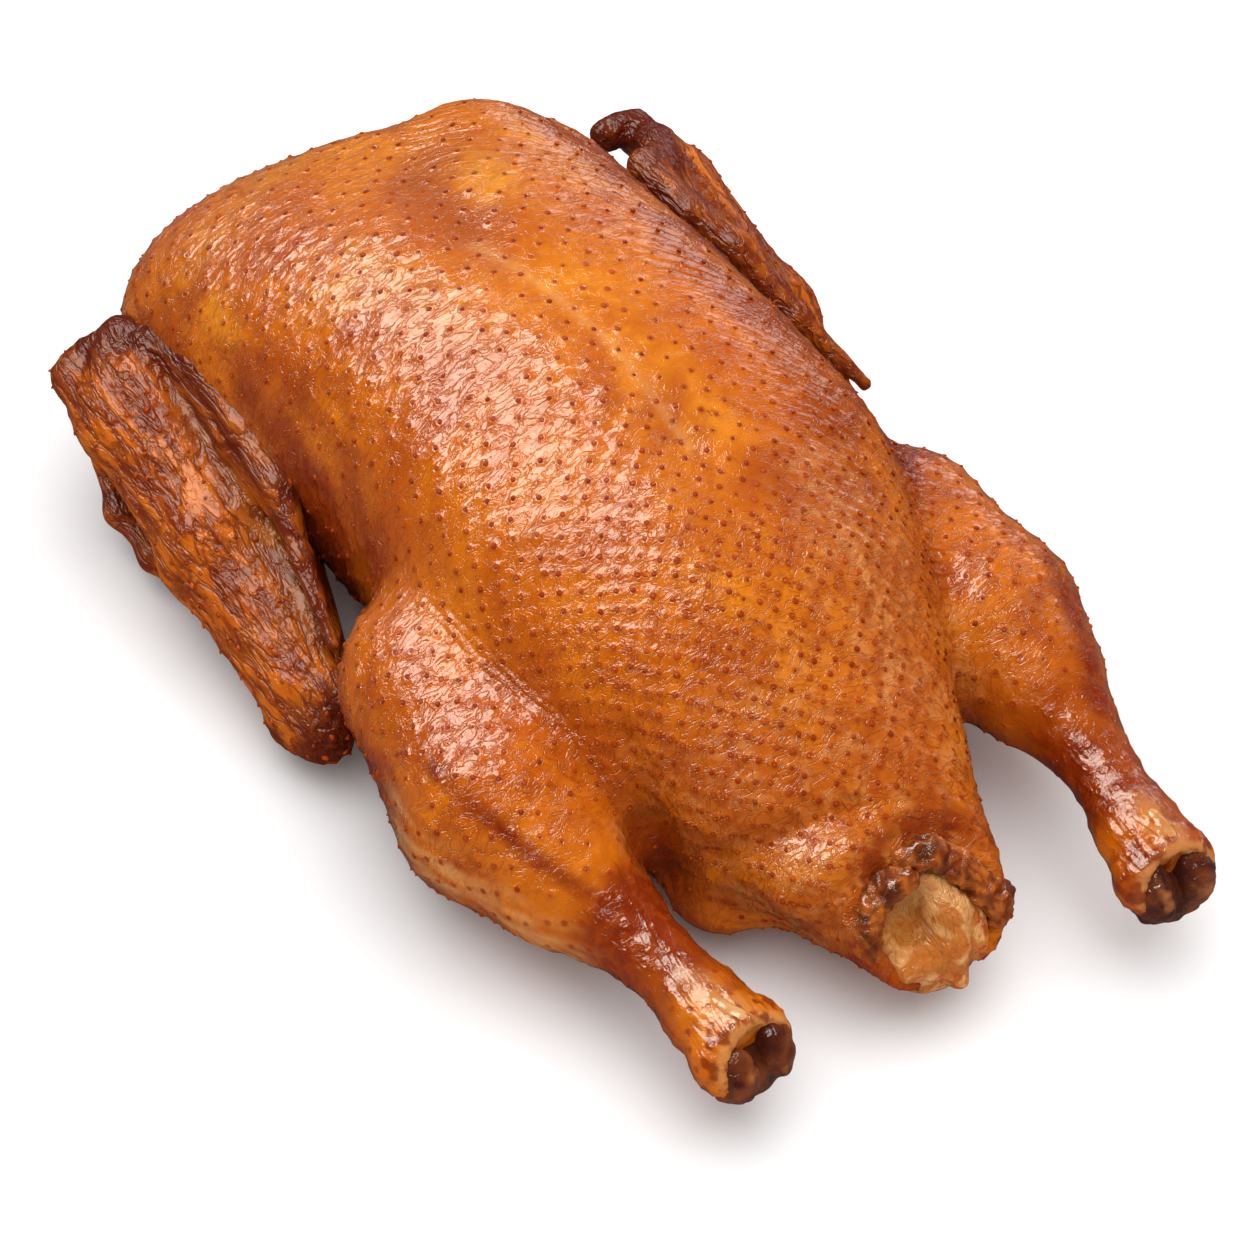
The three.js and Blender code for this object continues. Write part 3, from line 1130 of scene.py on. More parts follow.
@dataclass(frozen=True)
class QuillTips:
    """The small dark domes that stand at the follicles.

    Attributes:
        sides: how many sides a dome has.
        rings: radius share and height share of each ring, from the base inside the skin upward.
        radius: a dome's radius, and by how much it varies.
        height: how far a dome stands out, and by how much it varies.
        lean: how far a dome leans towards the tail, as a share of its height.
        seed: starts the random draws.
    """

    sides: int = 8
    rings: tuple[tuple[float, float], ...] = ((1.15, -0.6), (1.0, 0.1), (0.62, 0.78))
    radius: tuple[float, float] = (0.52, 0.13)
    height: tuple[float, float] = (0.26, 0.1)
    lean: float = 0.5
    seed: int = 5

    def over(self, quills: QuillField, size: Array) -> Surface:
        """Makes every dome.

        Args:
            quills: where the follicles are.
            size: how large each dome is, 1 being usual and 0 none.

        Returns:
            All domes as one surface.
        """
        draw = np.random.default_rng(self.seed)
        wanted = size > 0.05
        middle, out, size = quills.points[wanted], quills.normals[wanted], size[wanted]
        count = len(middle)
        radius = (self.radius[0] + self.radius[1] * draw.normal(size=count)).clip(0.35, 1.2) * size
        height = (self.height[0] + self.height[1] * draw.normal(size=count)).clip(0.12, 1.0) * size
        tail = np.array([0.0, -1.0, 0.0]) - out * -out[:, 1:2]
        along = tail / np.maximum(np.linalg.norm(tail, axis=1), 1e-3)[:, None]
        across = np.cross(out, along)
        angles = np.arange(self.sides) * (2.0 * math.pi / self.sides)
        rows = []
        for wide, high in self.rings:
            reach = (radius * wide)[:, None, None]
            ring = middle[:, None] + out[:, None] * (height * high)[:, None, None]
            ring = ring + reach * np.cos(angles)[None, :, None] * along[:, None]
            ring = ring + reach * np.sin(angles)[None, :, None] * across[:, None]
            rows.append(ring + along[:, None] * (height * max(high, 0.0) * self.lean)[:, None, None])
        bottom = middle - out * (height * 0.6)[:, None]
        top = middle + out * height[:, None] + along * (height * self.lean)[:, None]
        block = np.concatenate([np.concatenate(rows, axis=1), bottom[:, None], top[:, None]], axis=1)
        return Surface(block.reshape(-1, 3), block.reshape(-1, 3), self._faces(count))

    def _faces(self, count: int) -> Array:
        """The triangles of every dome.

        Args:
            count: how many domes there are.

        Returns:
            Three points for each triangle.
        """
        n = self.sides
        last = len(self.rings)
        bottom, top = n * last, n * last + 1
        one = []
        for i in range(n):
            j = (i + 1) % n
            for r in range(last - 1):
                a, b, c, d = r * n + i, r * n + j, (r + 1) * n + j, (r + 1) * n + i
                one += [(a, b, c), (a, c, d)]
            one += [((last - 1) * n + i, (last - 1) * n + j, top), (j, i, bottom)]
        starts = np.arange(count) * (n * last + 2)
        return (np.array(one)[None] + starts[:, None, None]).reshape(-1, 3)


# ---------------------------------------------------------------- shader words


class Tree:
    """A few words for laying out shader nodes."""

    def __init__(self, tree: bpy.types.NodeTree) -> None:
        """Starts on an empty tree."""
        self.tree = tree
        self.nodes = tree.nodes

    def node(self, kind: str, **settings: object) -> Node:
        """A node with its settings made.

        Args:
            kind: the node's type.
            settings: what it is set to.

        Returns:
            The node.
        """
        made = self.nodes.new(f"ShaderNode{kind}")
        for key, value in settings.items():
            setattr(made, key, value)
        return made

    def feed(self, value: object, socket: Socket) -> None:
        """Links an output to a socket, or sets the socket's own value."""
        if isinstance(value, Socket):
            self.tree.links.new(value, socket)
        elif value is not None:
            socket.default_value = value

    def math(self, operation: str, *values: object, clamp: bool = False) -> Socket:
        """A Math node's result.

        Args:
            operation: what it does.
            values: what goes in.
            clamp: whether it is kept from 0 to 1.

        Returns:
            The result.
        """
        made = self.node("Math", operation=operation, use_clamp=clamp)
        for value, socket in zip(values, made.inputs):
            self.feed(value, socket)
        return made.outputs[0]

    def times(self, value: object, factor: object, clamp: bool = False) -> Socket:
        """A product."""
        return self.math("MULTIPLY", value, factor, clamp=clamp)

    def scaled(self, value: object, factor: object, plus: object, clamp: bool = False) -> Socket:
        """A product with something added."""
        return self.math("MULTIPLY_ADD", value, factor, plus, clamp=clamp)

    def vector(self, operation: str, *values: object) -> Socket:
        """A Vector Math node's result.

        Args:
            operation: what it does.
            values: what goes in.

        Returns:
            The result.
        """
        made = self.node("VectorMath", operation=operation)
        for value, socket in zip(values, made.inputs):
            self.feed(value, socket)
        return made.outputs["Value" if operation in ("LENGTH", "DISTANCE", "DOT_PRODUCT") else "Vector"]

    def step(
        self,
        value: object,
        low: float,
        high: float,
        start: float = 0.0,
        end: float = 1.0,
    ) -> Socket:
        """A smooth step of a value.

        Args:
            value: what is stepped.
            low: the value at which the step starts.
            high: the value at which it is over.
            start: the result up to low.
            end: the result from high on.

        Returns:
            The stepped value.
        """
        made = self.node("MapRange", interpolation_type="SMOOTHSTEP")
        for item, socket in zip((value, low, high, start, end), made.inputs):
            self.feed(item, socket)
        return made.outputs[0]

    def mix(self, share: object, a: object, b: object, blend: str = "MIX") -> Socket:
        """A mix of two colours.

        Args:
            share: how much of the second there is, from 0 to 1.
            a: the first colour.
            b: the second colour.
            blend: how the second is laid over the first.

        Returns:
            The mixed colour.
        """
        made = self.node("Mix", data_type="RGBA", blend_type=blend)
        self.feed(share, made.inputs["Factor"])
        for value, socket in ((a, made.inputs["A"]), (b, made.inputs["B"])):
            wanted = [s for s in made.inputs if s.name == socket.name and s.type == "RGBA"][0]
            self.feed((*value, 1.0) if isinstance(value, tuple) and len(value) == 3 else value, wanted)
        return [s for s in made.outputs if s.type == "RGBA"][0]

    def noise(
        self,
        coordinates: object,
        per_metre: float,
        detail: float = 2.0,
        rough: float = 0.5,
        twist: float = 0.0,
    ) -> Socket:
        """A noise from 0 to 1.

        Args:
            coordinates: the place on the piece.
            per_metre: how many swells there are in a metre.
            detail: how many finer noises are added.
            rough: how strong each finer one is.
            twist: how much the noise is distorted.

        Returns:
            The noise's value.
        """
        made = self.node("TexNoise")
        self.feed(coordinates, made.inputs["Vector"])
        made.inputs["Scale"].default_value = per_metre
        made.inputs["Detail"].default_value = detail
        made.inputs["Roughness"].default_value = rough
        made.inputs["Distortion"].default_value = twist
        return made.outputs[0]

    def value_of(self, name: str) -> Socket:
        """A value carried by the mesh."""
        return self.node("Attribute", attribute_name=name).outputs["Fac"]

    def vector_of(self, name: str) -> Socket:
        """A vector carried by the mesh."""
        return self.node("Attribute", attribute_name=name).outputs["Vector"]

    def here(self) -> Socket:
        """The place on the piece, in metres."""
        return self.node("TexCoord").outputs["Object"]

    def use(self, group: bpy.types.NodeTree, **values: object) -> Node:
        """A placed node group with its inputs fed; spaces in an input's name are written as _.

        Args:
            group: the group.
            values: what goes into each input.

        Returns:
            The node.
        """
        made = self.node("Group")
        made.node_tree = group
        for key, value in values.items():
            self.feed(value, made.inputs[key.replace("_", " ")])
        return made

    def bump(
        self,
        height: object,
        depth: float,
        below: object = None,
        strength: float = 1.0,
    ) -> Socket:
        """A normal bent by a height.

        Args:
            height: the height, from 0 to 1.
            depth: what a height of 1 stands for, in metres.
            below: a normal that it is laid over.
            strength: how much of it there is.

        Returns:
            The bent normal.
        """
        made = self.node("Bump")
        made.inputs["Strength"].default_value = strength
        made.inputs["Distance"].default_value = depth
        self.feed(height, made.inputs["Height"])
        if below is not None:
            self.feed(below, made.inputs["Normal"])
        return made.outputs[0]


class Groups:
    """The shader effects that several finishes share, each made once."""

    def __init__(self) -> None:
        """Makes every group."""
        self.mottle = self._mottle()
        self.creases = self._creases()
        self.quill = self._quill()

    @staticmethod
    def _start(
        name: str,
        inputs: dict[str, tuple[str, object]],
        outputs: dict[str, str],
    ) -> tuple[Tree, Node, Node]:
        """An empty group with its named sockets.

        Args:
            name: the group's name.
            inputs: each input's kind and what it is unless fed.
            outputs: each output's kind.

        Returns:
            The group, the node that its inputs leave and the node that its outputs enter.
        """
        tree = bpy.data.node_groups.new(name, "ShaderNodeTree")
        for key, (kind, value) in inputs.items():
            socket = tree.interface.new_socket(key, in_out="INPUT", socket_type=f"NodeSocket{kind}")
            if value is not None:
                socket.default_value = value
        for key, kind in outputs.items():
            tree.interface.new_socket(key, in_out="OUTPUT", socket_type=f"NodeSocket{kind}")
        made = Tree(tree)
        return made, tree.nodes.new("NodeGroupInput"), tree.nodes.new("NodeGroupOutput")

    def _mottle(self) -> bpy.types.NodeTree:
        """Uneven smoke: broad clouds and finer specks, each from 0 to 1."""
        tree, inside, out = self._start(
            "uneven_smoke",
            {"Place": ("Vector", None), "Cloud": ("Float", 45.0), "Speck": ("Float", 380.0)},
            {"Clouds": "Float", "Specks": "Float"},
        )
        for scale, detail, low, high, name in (
            ("Cloud", 4.0, 0.34, 0.66, "Clouds"),
            ("Speck", 3.0, 0.4, 0.68, "Specks"),
        ):
            made = tree.node("TexNoise")
            tree.feed(inside.outputs["Place"], made.inputs["Vector"])
            tree.feed(inside.outputs[scale], made.inputs["Scale"])
            made.inputs["Detail"].default_value = detail
            made.inputs["Distortion"].default_value = 0.6
            tree.feed(tree.step(made.outputs[0], low, high), out.inputs[name])
        return tree.tree

    def _creases(self) -> bpy.types.NodeTree:
        """A web of fine creases: 1 between them and 0 in them."""
        tree, inside, out = self._start(
            "fine_creases",
            {
                "Place": ("Vector", None),
                "Grain": ("Vector", (1.0, 1.0, 1.0)),
                "Pitch": ("Float", 260.0),
                "Width": ("Float", 0.07),
                "Twist": ("Float", 1.2),
            },
            {"Height": "Float"},
        )
        stretched = tree.vector("MULTIPLY", inside.outputs["Place"], inside.outputs["Grain"])
        made = tree.node("TexNoise")
        tree.feed(stretched, made.inputs["Vector"])
        tree.feed(inside.outputs["Pitch"], made.inputs["Scale"])
        made.inputs["Detail"].default_value = 3.0
        made.inputs["Roughness"].default_value = 0.55
        tree.feed(inside.outputs["Twist"], made.inputs["Distortion"])
        off = tree.math("ABSOLUTE", tree.math("SUBTRACT", made.outputs[0], 0.5))
        made = tree.node("MapRange", interpolation_type="SMOOTHSTEP")
        tree.feed(off, made.inputs["Value"])
        tree.feed(inside.outputs["Width"], made.inputs["From Max"])
        tree.feed(made.outputs[0], out.inputs["Height"])
        return tree.tree

    def _quill(self) -> bpy.types.NodeTree:
        """The nearest follicle: how far off it is in millimetres, its dark spot and its swelling."""
        tree, inside, out = self._start(
            "quill_follicle",
            {"Spot": ("Float", 0.9), "Fade": ("Float", 1.7), "Swelling": ("Float", 2.2)},
            {"Dark": "Float", "Height": "Float"},
        )
        exact = tree.vector("DISTANCE", tree.here(), tree.vector_of("quill_at"))
        carried = tree.math("SUBTRACT", tree.value_of("quill_gap"), 0.7)
        gap = tree.math("MAXIMUM", tree.times(exact, 1000.0), carried)
        for limits, name in ((("Spot", "Fade"), "Dark"), ((None, "Swelling"), "Height")):
            made = tree.node("MapRange", interpolation_type="SMOOTHSTEP")
            tree.feed(gap, made.inputs["Value"])
            if limits[0] is not None:
                tree.feed(inside.outputs[limits[0]], made.inputs["From Min"])
            tree.feed(inside.outputs[limits[1]], made.inputs["From Max"])
            made.inputs["To Min"].default_value = 1.0
            made.inputs["To Max"].default_value = 0.0
            shape = made.outputs[0]
            if name == "Height":
                pit = tree.step(gap, 0.35, 1.0, 0.8, 0.0)
                shape = tree.math("SUBTRACT", tree.times(shape, 0.5), pit)
            tree.feed(shape, out.inputs[name])
        return tree.tree


# ---------------------------------------------------------------- finishes

Tone = tuple[float, float, float]


@dataclass(frozen=True)
class Finish:
    """What every finish of the duck shares: its gloss and how light goes into it.

    Attributes:
        name: the material's name.
        roughness: how dull the skin under the fat is.
        specular: how strongly that skin mirrors.
        coat: how much melted fat lies over it.
        coat_roughness: how dull the fat is.
        depth: how much light goes in and comes out beside.
    """

    name: str
    roughness: float = 0.35
    specular: float = 0.02
    coat: float = 1.0
    coat_roughness: float = 0.07
    depth: float = 0.06

    def start(self) -> tuple[Material, Tree, Node]:
        """A new material with its shader set up."""
        material = bpy.data.materials.new(self.name)
        material.use_nodes = True
        material.node_tree.nodes.clear()
        tree = Tree(material.node_tree)
        shader = tree.node("BsdfPrincipled")
        shader.inputs["Roughness"].default_value = self.roughness
        shader.inputs["Specular IOR Level"].default_value = self.specular
        shader.inputs["Coat Weight"].default_value = self.coat
        shader.inputs["Coat Roughness"].default_value = self.coat_roughness
        shader.inputs["Subsurface Weight"].default_value = self.depth
        shader.inputs["Subsurface Radius"].default_value = (1.0, 0.35, 0.12)
        shader.inputs["Subsurface Scale"].default_value = 0.003
        end = tree.node("OutputMaterial")
        tree.feed(shader.outputs[0], end.inputs[0])
        return material, tree, shader

    @staticmethod
    def bend(tree: Tree, shader: Node, normal: Socket) -> None:
        """Gives the skin and the fat over it the same relief."""
        tree.feed(normal, shader.inputs["Normal"])
        tree.feed(normal, shader.inputs["Coat Normal"])


@dataclass(frozen=True)
class SkinFinish(Finish):
    """Glossy smoked skin of the trunk and legs.

    Attributes:
        amber: clear skin.
        amber_deep: clear skin where it is less lit from within.
        gold: the yellowest skin; on the top of the breast, the belly fold and the flap by the vent it is
            partly a painted highlight.
        tan: the duller skin behind.
        pale_tan: its paler marbling.
        mahogany: the most smoked skin; through the smoke mask it is also painted shade beside the wings, in
            folds and creases and low on the flanks.
        spot: follicles and blotches, and painted shade in the fine creases.
        cream: fat that shows through, and a painted sheen of reflected light in streaks under the left thigh.
    """

    name: str = "smoked_skin"
    amber: Tone = (0.65, 0.158, 0.003)
    amber_deep: Tone = (0.44, 0.073, 0.002)
    gold: Tone = (0.71, 0.23, 0.010)
    tan: Tone = (0.47, 0.122, 0.017)
    pale_tan: Tone = (0.68, 0.27, 0.075)
    mahogany: Tone = (0.19, 0.018, 0.002)
    spot: Tone = (0.30, 0.036, 0.003)
    cream: Tone = (0.80, 0.45, 0.16)

    def make(self, groups: Groups) -> Material:
        """The skin's material.

        Args:
            groups: the shared shader effects.

        Returns:
            The material.
        """
        material, tree, shader = self.start()
        here = tree.here()
        smoke = tree.use(groups.mottle, Place=here, Cloud=38.0, Speck=300.0)
        clouds, specks = smoke.outputs["Clouds"], smoke.outputs["Specks"]
        colour = tree.mix(tree.scaled(clouds, 0.8, 0.12), self.amber_deep, self.amber)
        # Gold where the gold mask holds it; in places it is partly a painted highlight.
        gold = tree.times(tree.value_of("gold"), tree.math("ADD", 0.45, clouds))
        colour = tree.mix(tree.math("MINIMUM", gold, 1.0), colour, self.gold)
        colour = tree.mix(tree.value_of("tan"), colour, self.tan)
        marbled = tree.step(tree.noise(here, 190.0, 3.0, 0.5, 0.5), 0.46, 0.64)
        colour = tree.mix(tree.times(marbled, tree.value_of("tan")), colour, self.pale_tan)
        # Mahogany where the smoke mask holds it: smoked skin, and painted shade where that mask stands for
        # shade.
        cleared = tree.times(clouds, -0.45)
        dark = tree.scaled(tree.value_of("smoke"), 1.45, cleared, clamp=True)
        colour = tree.mix(dark, colour, self.mahogany)
        colour = tree.mix(tree.times(specks, 0.3), colour, self.amber_deep)
        drawn_out = tree.vector("MULTIPLY", here, (1.0, 0.5, 1.0))
        blotch = tree.step(tree.noise(drawn_out, 150.0, 3.0, 0.6, 0.8), 0.47, 0.64)
        share = tree.scaled(tree.value_of("rough"), 0.34, 0.12)
        colour = tree.mix(tree.times(blotch, share), colour, self.spot)
        # Darker in the fine creases of the relief: painted shade in them.
        web = tree.use(groups.creases, Place=here, Grain=(1.0, 1.9, 1.0), Pitch=170.0, Width=0.05, Twist=0.9)
        line = tree.times(tree.math("SUBTRACT", 1.0, web.outputs[0]), 0.3)
        colour = tree.mix(tree.times(line, tree.value_of("rough")), colour, self.spot)
        # Cream where the skin is pale; under the left thigh these pale streaks are a painted sheen of
        # reflected light.
        colour = tree.mix(tree.times(tree.value_of("pale"), 0.8), colour, self.cream)
        patchy = tree.step(tree.noise(here, 170.0, 2.0), 0.5, 0.62)
        burnt = tree.times(tree.value_of("bare"), patchy)
        colour = tree.mix(tree.times(burnt, 0.8), colour, self.mahogany)
        quill = tree.use(groups.quill, Spot=0.3, Fade=1.5, Swelling=2.0)
        some = tree.noise(tree.vector_of("quill_at"), 70.0, 1.0)
        spotted = tree.times(quill.outputs["Dark"], tree.step(some, 0.35, 0.65, 0.3, 1.0))
        colour = tree.mix(spotted, colour, self.spot)
        tree.feed(colour, shader.inputs["Base Color"])
        tree.feed(tree.scaled(specks, 0.14, self.roughness - 0.07), shader.inputs["Roughness"])
        self.bend(tree, shader, self._relief(tree, groups, quill.outputs["Height"]))
        return material

    @staticmethod
    def _relief(tree: Tree, groups: Groups, swelling: Socket) -> Socket:
        """The fine relief: ripples, swellings, waves and creases, in millimetres, as a normal.

        Args:
            tree: the material's nodes.
            groups: the shared shader effects.
            swelling: how far each follicle swells.

        Returns:
            The normal.
        """
        here = tree.here()
        shank = tree.value_of("shank")
        across = tree.math("SUBTRACT", 1.0, shank)
        wander = tree.scaled(tree.noise(here, 60.0, 1.0), 5.0, tree.value_of("row"))
        turn = tree.times(wander, 2.0 * math.pi / RIPPLE)
        second = tree.math("SINE", tree.scaled(turn, 2.0, 0.9))
        ridge = tree.scaled(second, 0.45, tree.math("SINE", turn))
        height = tree.times(ridge, tree.times(tree.value_of("ripple"), 0.24))
        pleat = tree.scaled(tree.noise(here, 90.0, 1.0), 3.0, tree.value_of("seam"))
        pleat = tree.math("SINE", tree.times(pleat, 2.0 * math.pi / FINE_PLEAT))
        height = tree.scaled(pleat, tree.times(tree.value_of("crease"), 0.1), height)
        waves = tree.noise(tree.vector("MULTIPLY", here, (1.0, 1.6, 1.0)), 230.0, 1.0, 0.5, 0.25)
        rough = tree.math("SUBTRACT", 1.0, tree.value_of("calm"))
        coarse = tree.scaled(tree.value_of("rough"), 0.4, 0.3)
        height = tree.scaled(waves, tree.times(rough, coarse), height)
        height = tree.scaled(swelling, tree.scaled(rough, 0.24, 0.06), height)
        web = tree.use(groups.creases, Place=here, Grain=(1.0, 1.9, 1.0), Pitch=170.0, Width=0.05, Twist=0.9)
        across = tree.times(across, rough)
        height = tree.scaled(tree.times(web.outputs[0], across), 0.17, height)
        fine = tree.use(groups.creases, Place=here, Grain=(1.0, 1.7, 1.0), Pitch=320.0, Width=0.07, Twist=0.8)
        height = tree.scaled(fine.outputs[0], tree.times(rough, 0.045), height)
        grain = (1.0, 0.22, 1.0)
        strands = tree.use(groups.creases, Place=here, Grain=grain, Pitch=130.0, Width=0.16, Twist=0.4)
        height = tree.scaled(tree.times(strands.outputs[0], shank), 0.3, height)
        return tree.bump(height, 0.001)


@dataclass(frozen=True)
class QuillFinish(Finish):
    """Dark glossy skin over the quill stubs.

    Attributes:
        deep: the darkest stubs.
        lit: the lightest stubs.
    """

    name: str = "quill_stub"
    coat: float = 0.12
    deep: Tone = (0.24, 0.024, 0.003)
    lit: Tone = (0.44, 0.065, 0.006)

    def make(self, groups: Groups) -> Material:
        """The stubs' material.

        Args:
            groups: the shared shader effects.

        Returns:
            The material.
        """
        material, tree, shader = self.start()
        smoke = tree.use(groups.mottle, Place=tree.here(), Cloud=120.0, Speck=900.0)
        colour = tree.mix(smoke.outputs["Clouds"], self.deep, self.lit)
        tree.feed(colour, shader.inputs["Base Color"])
        self.bend(tree, shader, tree.bump(smoke.outputs["Specks"], 0.00005))
        return material


@dataclass(frozen=True)
class WingFinish(Finish):
    """Wrinkled, unevenly smoked skin of the wings.

    Attributes:
        orange: the least smoked skin.
        brown: the skin between its streaks.
        web: the clearer skin of the web.
        mahogany: the most smoked skin, and painted shade in the lengthwise creases and in the grooves between
            the parts.
        black: char.
    """

    name: str = "wing_skin"
    coat: float = 0.34
    coat_roughness: float = 0.1
    orange: Tone = (0.60, 0.135, 0.006)
    brown: Tone = (0.24, 0.031, 0.004)
    web: Tone = (0.62, 0.18, 0.010)
    mahogany: Tone = (0.12, 0.013, 0.004)
    black: Tone = (0.05, 0.008, 0.003)

    def make(self, groups: Groups) -> Material:
        """The wings' material.

        Args:
            groups: the shared shader effects.

        Returns:
            The material.
        """
        material, tree, shader = self.start()
        here = tree.here()
        smoke = tree.use(groups.mottle, Place=here, Cloud=110.0, Speck=480.0)
        clouds, specks = smoke.outputs["Clouds"], smoke.outputs["Specks"]
        smooth = tree.value_of("smooth")
        grain = (1.0, 0.2, 1.0)
        strands = tree.use(groups.creases, Place=here, Grain=grain, Pitch=240.0, Width=0.1, Twist=0.4)
        web = tree.use(groups.creases, Place=here, Grain=(1.0, 0.6, 1.0), Pitch=300.0, Width=0.07, Twist=0.5)
        waves = tree.noise(tree.vector("MULTIPLY", here, (1.0, 0.45, 1.0)), 300.0, 2.0, 0.5, 0.4)
        streaks = tree.noise(tree.vector("MULTIPLY", here, (1.0, 0.16, 1.0)), 210.0, 3.0, 0.55, 0.4)
        cloudy = tree.times(clouds, 0.25)
        lit = tree.scaled(tree.step(streaks, 0.36, 0.6), 0.75, cloudy)
        colour = tree.mix(lit, self.brown, self.orange)
        colour = tree.mix(tree.value_of("web"), colour, self.web)
        cleared = tree.times(lit, -0.55)
        dark = tree.scaled(tree.value_of("smoke"), 1.4, cleared, clamp=True)
        colour = tree.mix(dark, colour, self.mahogany)
        # Mahogany in the lengthwise creases of the relief: painted shade in them.
        crease = tree.math("SUBTRACT", 1.0, strands.outputs[0])
        colour = tree.mix(tree.times(crease, 0.7), colour, self.mahogany)
        # Mahogany in the grooves between forearm, web and hand: painted shade.
        colour = tree.mix(tree.times(tree.value_of("groove_shade"), 0.6), colour, self.mahogany)
        char = tree.times(tree.value_of("crinkled"), tree.times(specks, 0.6))
        colour = tree.mix(char, colour, self.black)
        quill = tree.use(groups.quill, Spot=0.4, Fade=1.1, Swelling=1.8)
        colour = tree.mix(tree.times(quill.outputs["Dark"], 0.5), colour, self.black)
        tree.feed(colour, shader.inputs["Base Color"])
        tree.feed(tree.scaled(specks, 0.12, self.roughness - 0.06), shader.inputs["Roughness"])
        rough = tree.scaled(smooth, -0.15, 1.0)
        height = tree.scaled(strands.outputs[0], 0.34, tree.times(waves, 0.6))
        height = tree.scaled(web.outputs[0], 0.1, height)
        self.bend(tree, shader, tree.bump(tree.times(height, rough), 0.001))
        return material


@dataclass(frozen=True)
class KnuckleFinish(Finish):
    """Dark wet joint ends with tan patches.

    Attributes:
        brown: their common colour.
        tan: the patches.
        black: the darkest hollows, and painted shade in the recess between the knuckles.
    """

    name: str = "knuckle"
    roughness: float = 0.25
    brown: Tone = (0.20, 0.045, 0.012)
    tan: Tone = (0.58, 0.20, 0.045)
    black: Tone = (0.045, 0.008, 0.005)

    def make(self, groups: Groups) -> Material:
        """The knuckles' material.

        Args:
            groups: the shared shader effects.

        Returns:
            The material.
        """
        material, tree, shader = self.start()
        smoke = tree.use(groups.mottle, Place=tree.here(), Cloud=85.0, Speck=600.0)
        clouds, specks = smoke.outputs["Clouds"], smoke.outputs["Specks"]
        colour = tree.mix(clouds, self.black, self.brown)
        patches = tree.step(tree.noise(tree.here(), 130.0, 2.0), 0.48, 0.8)
        colour = tree.mix(tree.times(patches, tree.value_of("tip")), colour, self.tan)
        # Black in the recess between the knuckles: painted shade.
        colour = tree.mix(tree.value_of("hollow"), colour, self.black)
        tree.feed(colour, shader.inputs["Base Color"])
        self.bend(tree, shader, tree.bump(specks, 0.00018))
        return material


@dataclass(frozen=True)
class CordFinish(Finish):
    """Cream tendon, browned unevenly.

    Attributes:
        cream: the clean cord.
        brown: where it is browned.
    """

    name: str = "tendon"
    roughness: float = 0.3
    cream: Tone = (0.66, 0.33, 0.12)
    brown: Tone = (0.42, 0.11, 0.016)

    def make(self, groups: Groups) -> Material:
        """The tendon's material.

        Args:
            groups: the shared shader effects.

        Returns:
            The material.
        """
        material, tree, shader = self.start()
        smoke = tree.use(groups.mottle, Place=tree.here(), Cloud=130.0, Speck=500.0)
        colour = tree.mix(tree.times(smoke.outputs["Clouds"], 0.7), self.cream, self.brown)
        tree.feed(colour, shader.inputs["Base Color"])
        self.bend(tree, shader, tree.bump(smoke.outputs["Specks"], 0.0001))
        return material


@dataclass(frozen=True)
class FleshFinish(Finish):
    """Tan cut flesh with cream ridges and red-brown stains.

    Attributes:
        cream: the ridges.
        tan: the flesh.
        bowl: the floor of the bowl.
        stain: the stains.
    """

    name: str = "cut_flesh"
    roughness: float = 0.33
    depth: float = 0.15
    cream: Tone = (0.74, 0.37, 0.13)
    tan: Tone = (0.52, 0.16, 0.028)
    bowl: Tone = (0.47, 0.18, 0.032)
    stain: Tone = (0.42, 0.07, 0.010)

    def make(self, groups: Groups) -> Material:
        """The flesh's material.

        Args:
            groups: the shared shader effects.

        Returns:
            The material.
        """
        material, tree, shader = self.start()
        here = tree.here()
        smoke = tree.use(groups.mottle, Place=here, Cloud=120.0, Speck=520.0)
        clouds, specks = smoke.outputs["Clouds"], smoke.outputs["Specks"]
        colour = tree.mix(tree.step(clouds, 0.3, 0.75), self.tan, self.cream)
        colour = tree.mix(tree.times(tree.value_of("bowl"), 0.7), colour, self.bowl)
        spotted = tree.step(tree.noise(here, 240.0, 3.0, 0.6, 0.8), 0.5, 0.66)
        colour = tree.mix(tree.times(spotted, 0.5), colour, self.stain)
        marks = tree.times(tree.value_of("stain"), tree.step(specks, 0.2, 0.9), clamp=True)
        colour = tree.mix(marks, colour, self.stain)
        colour = tree.mix(tree.times(specks, 0.25), colour, self.stain)
        tree.feed(colour, shader.inputs["Base Color"])
        fibres = tree.use(groups.creases, Place=here, Grain=(1.0, 0.5, 0.5), Pitch=240.0, Width=0.1)
        normal = tree.bump(fibres.outputs[0], 0.0003)
        self.bend(tree, shader, tree.bump(specks, 0.00015, normal))
        return material


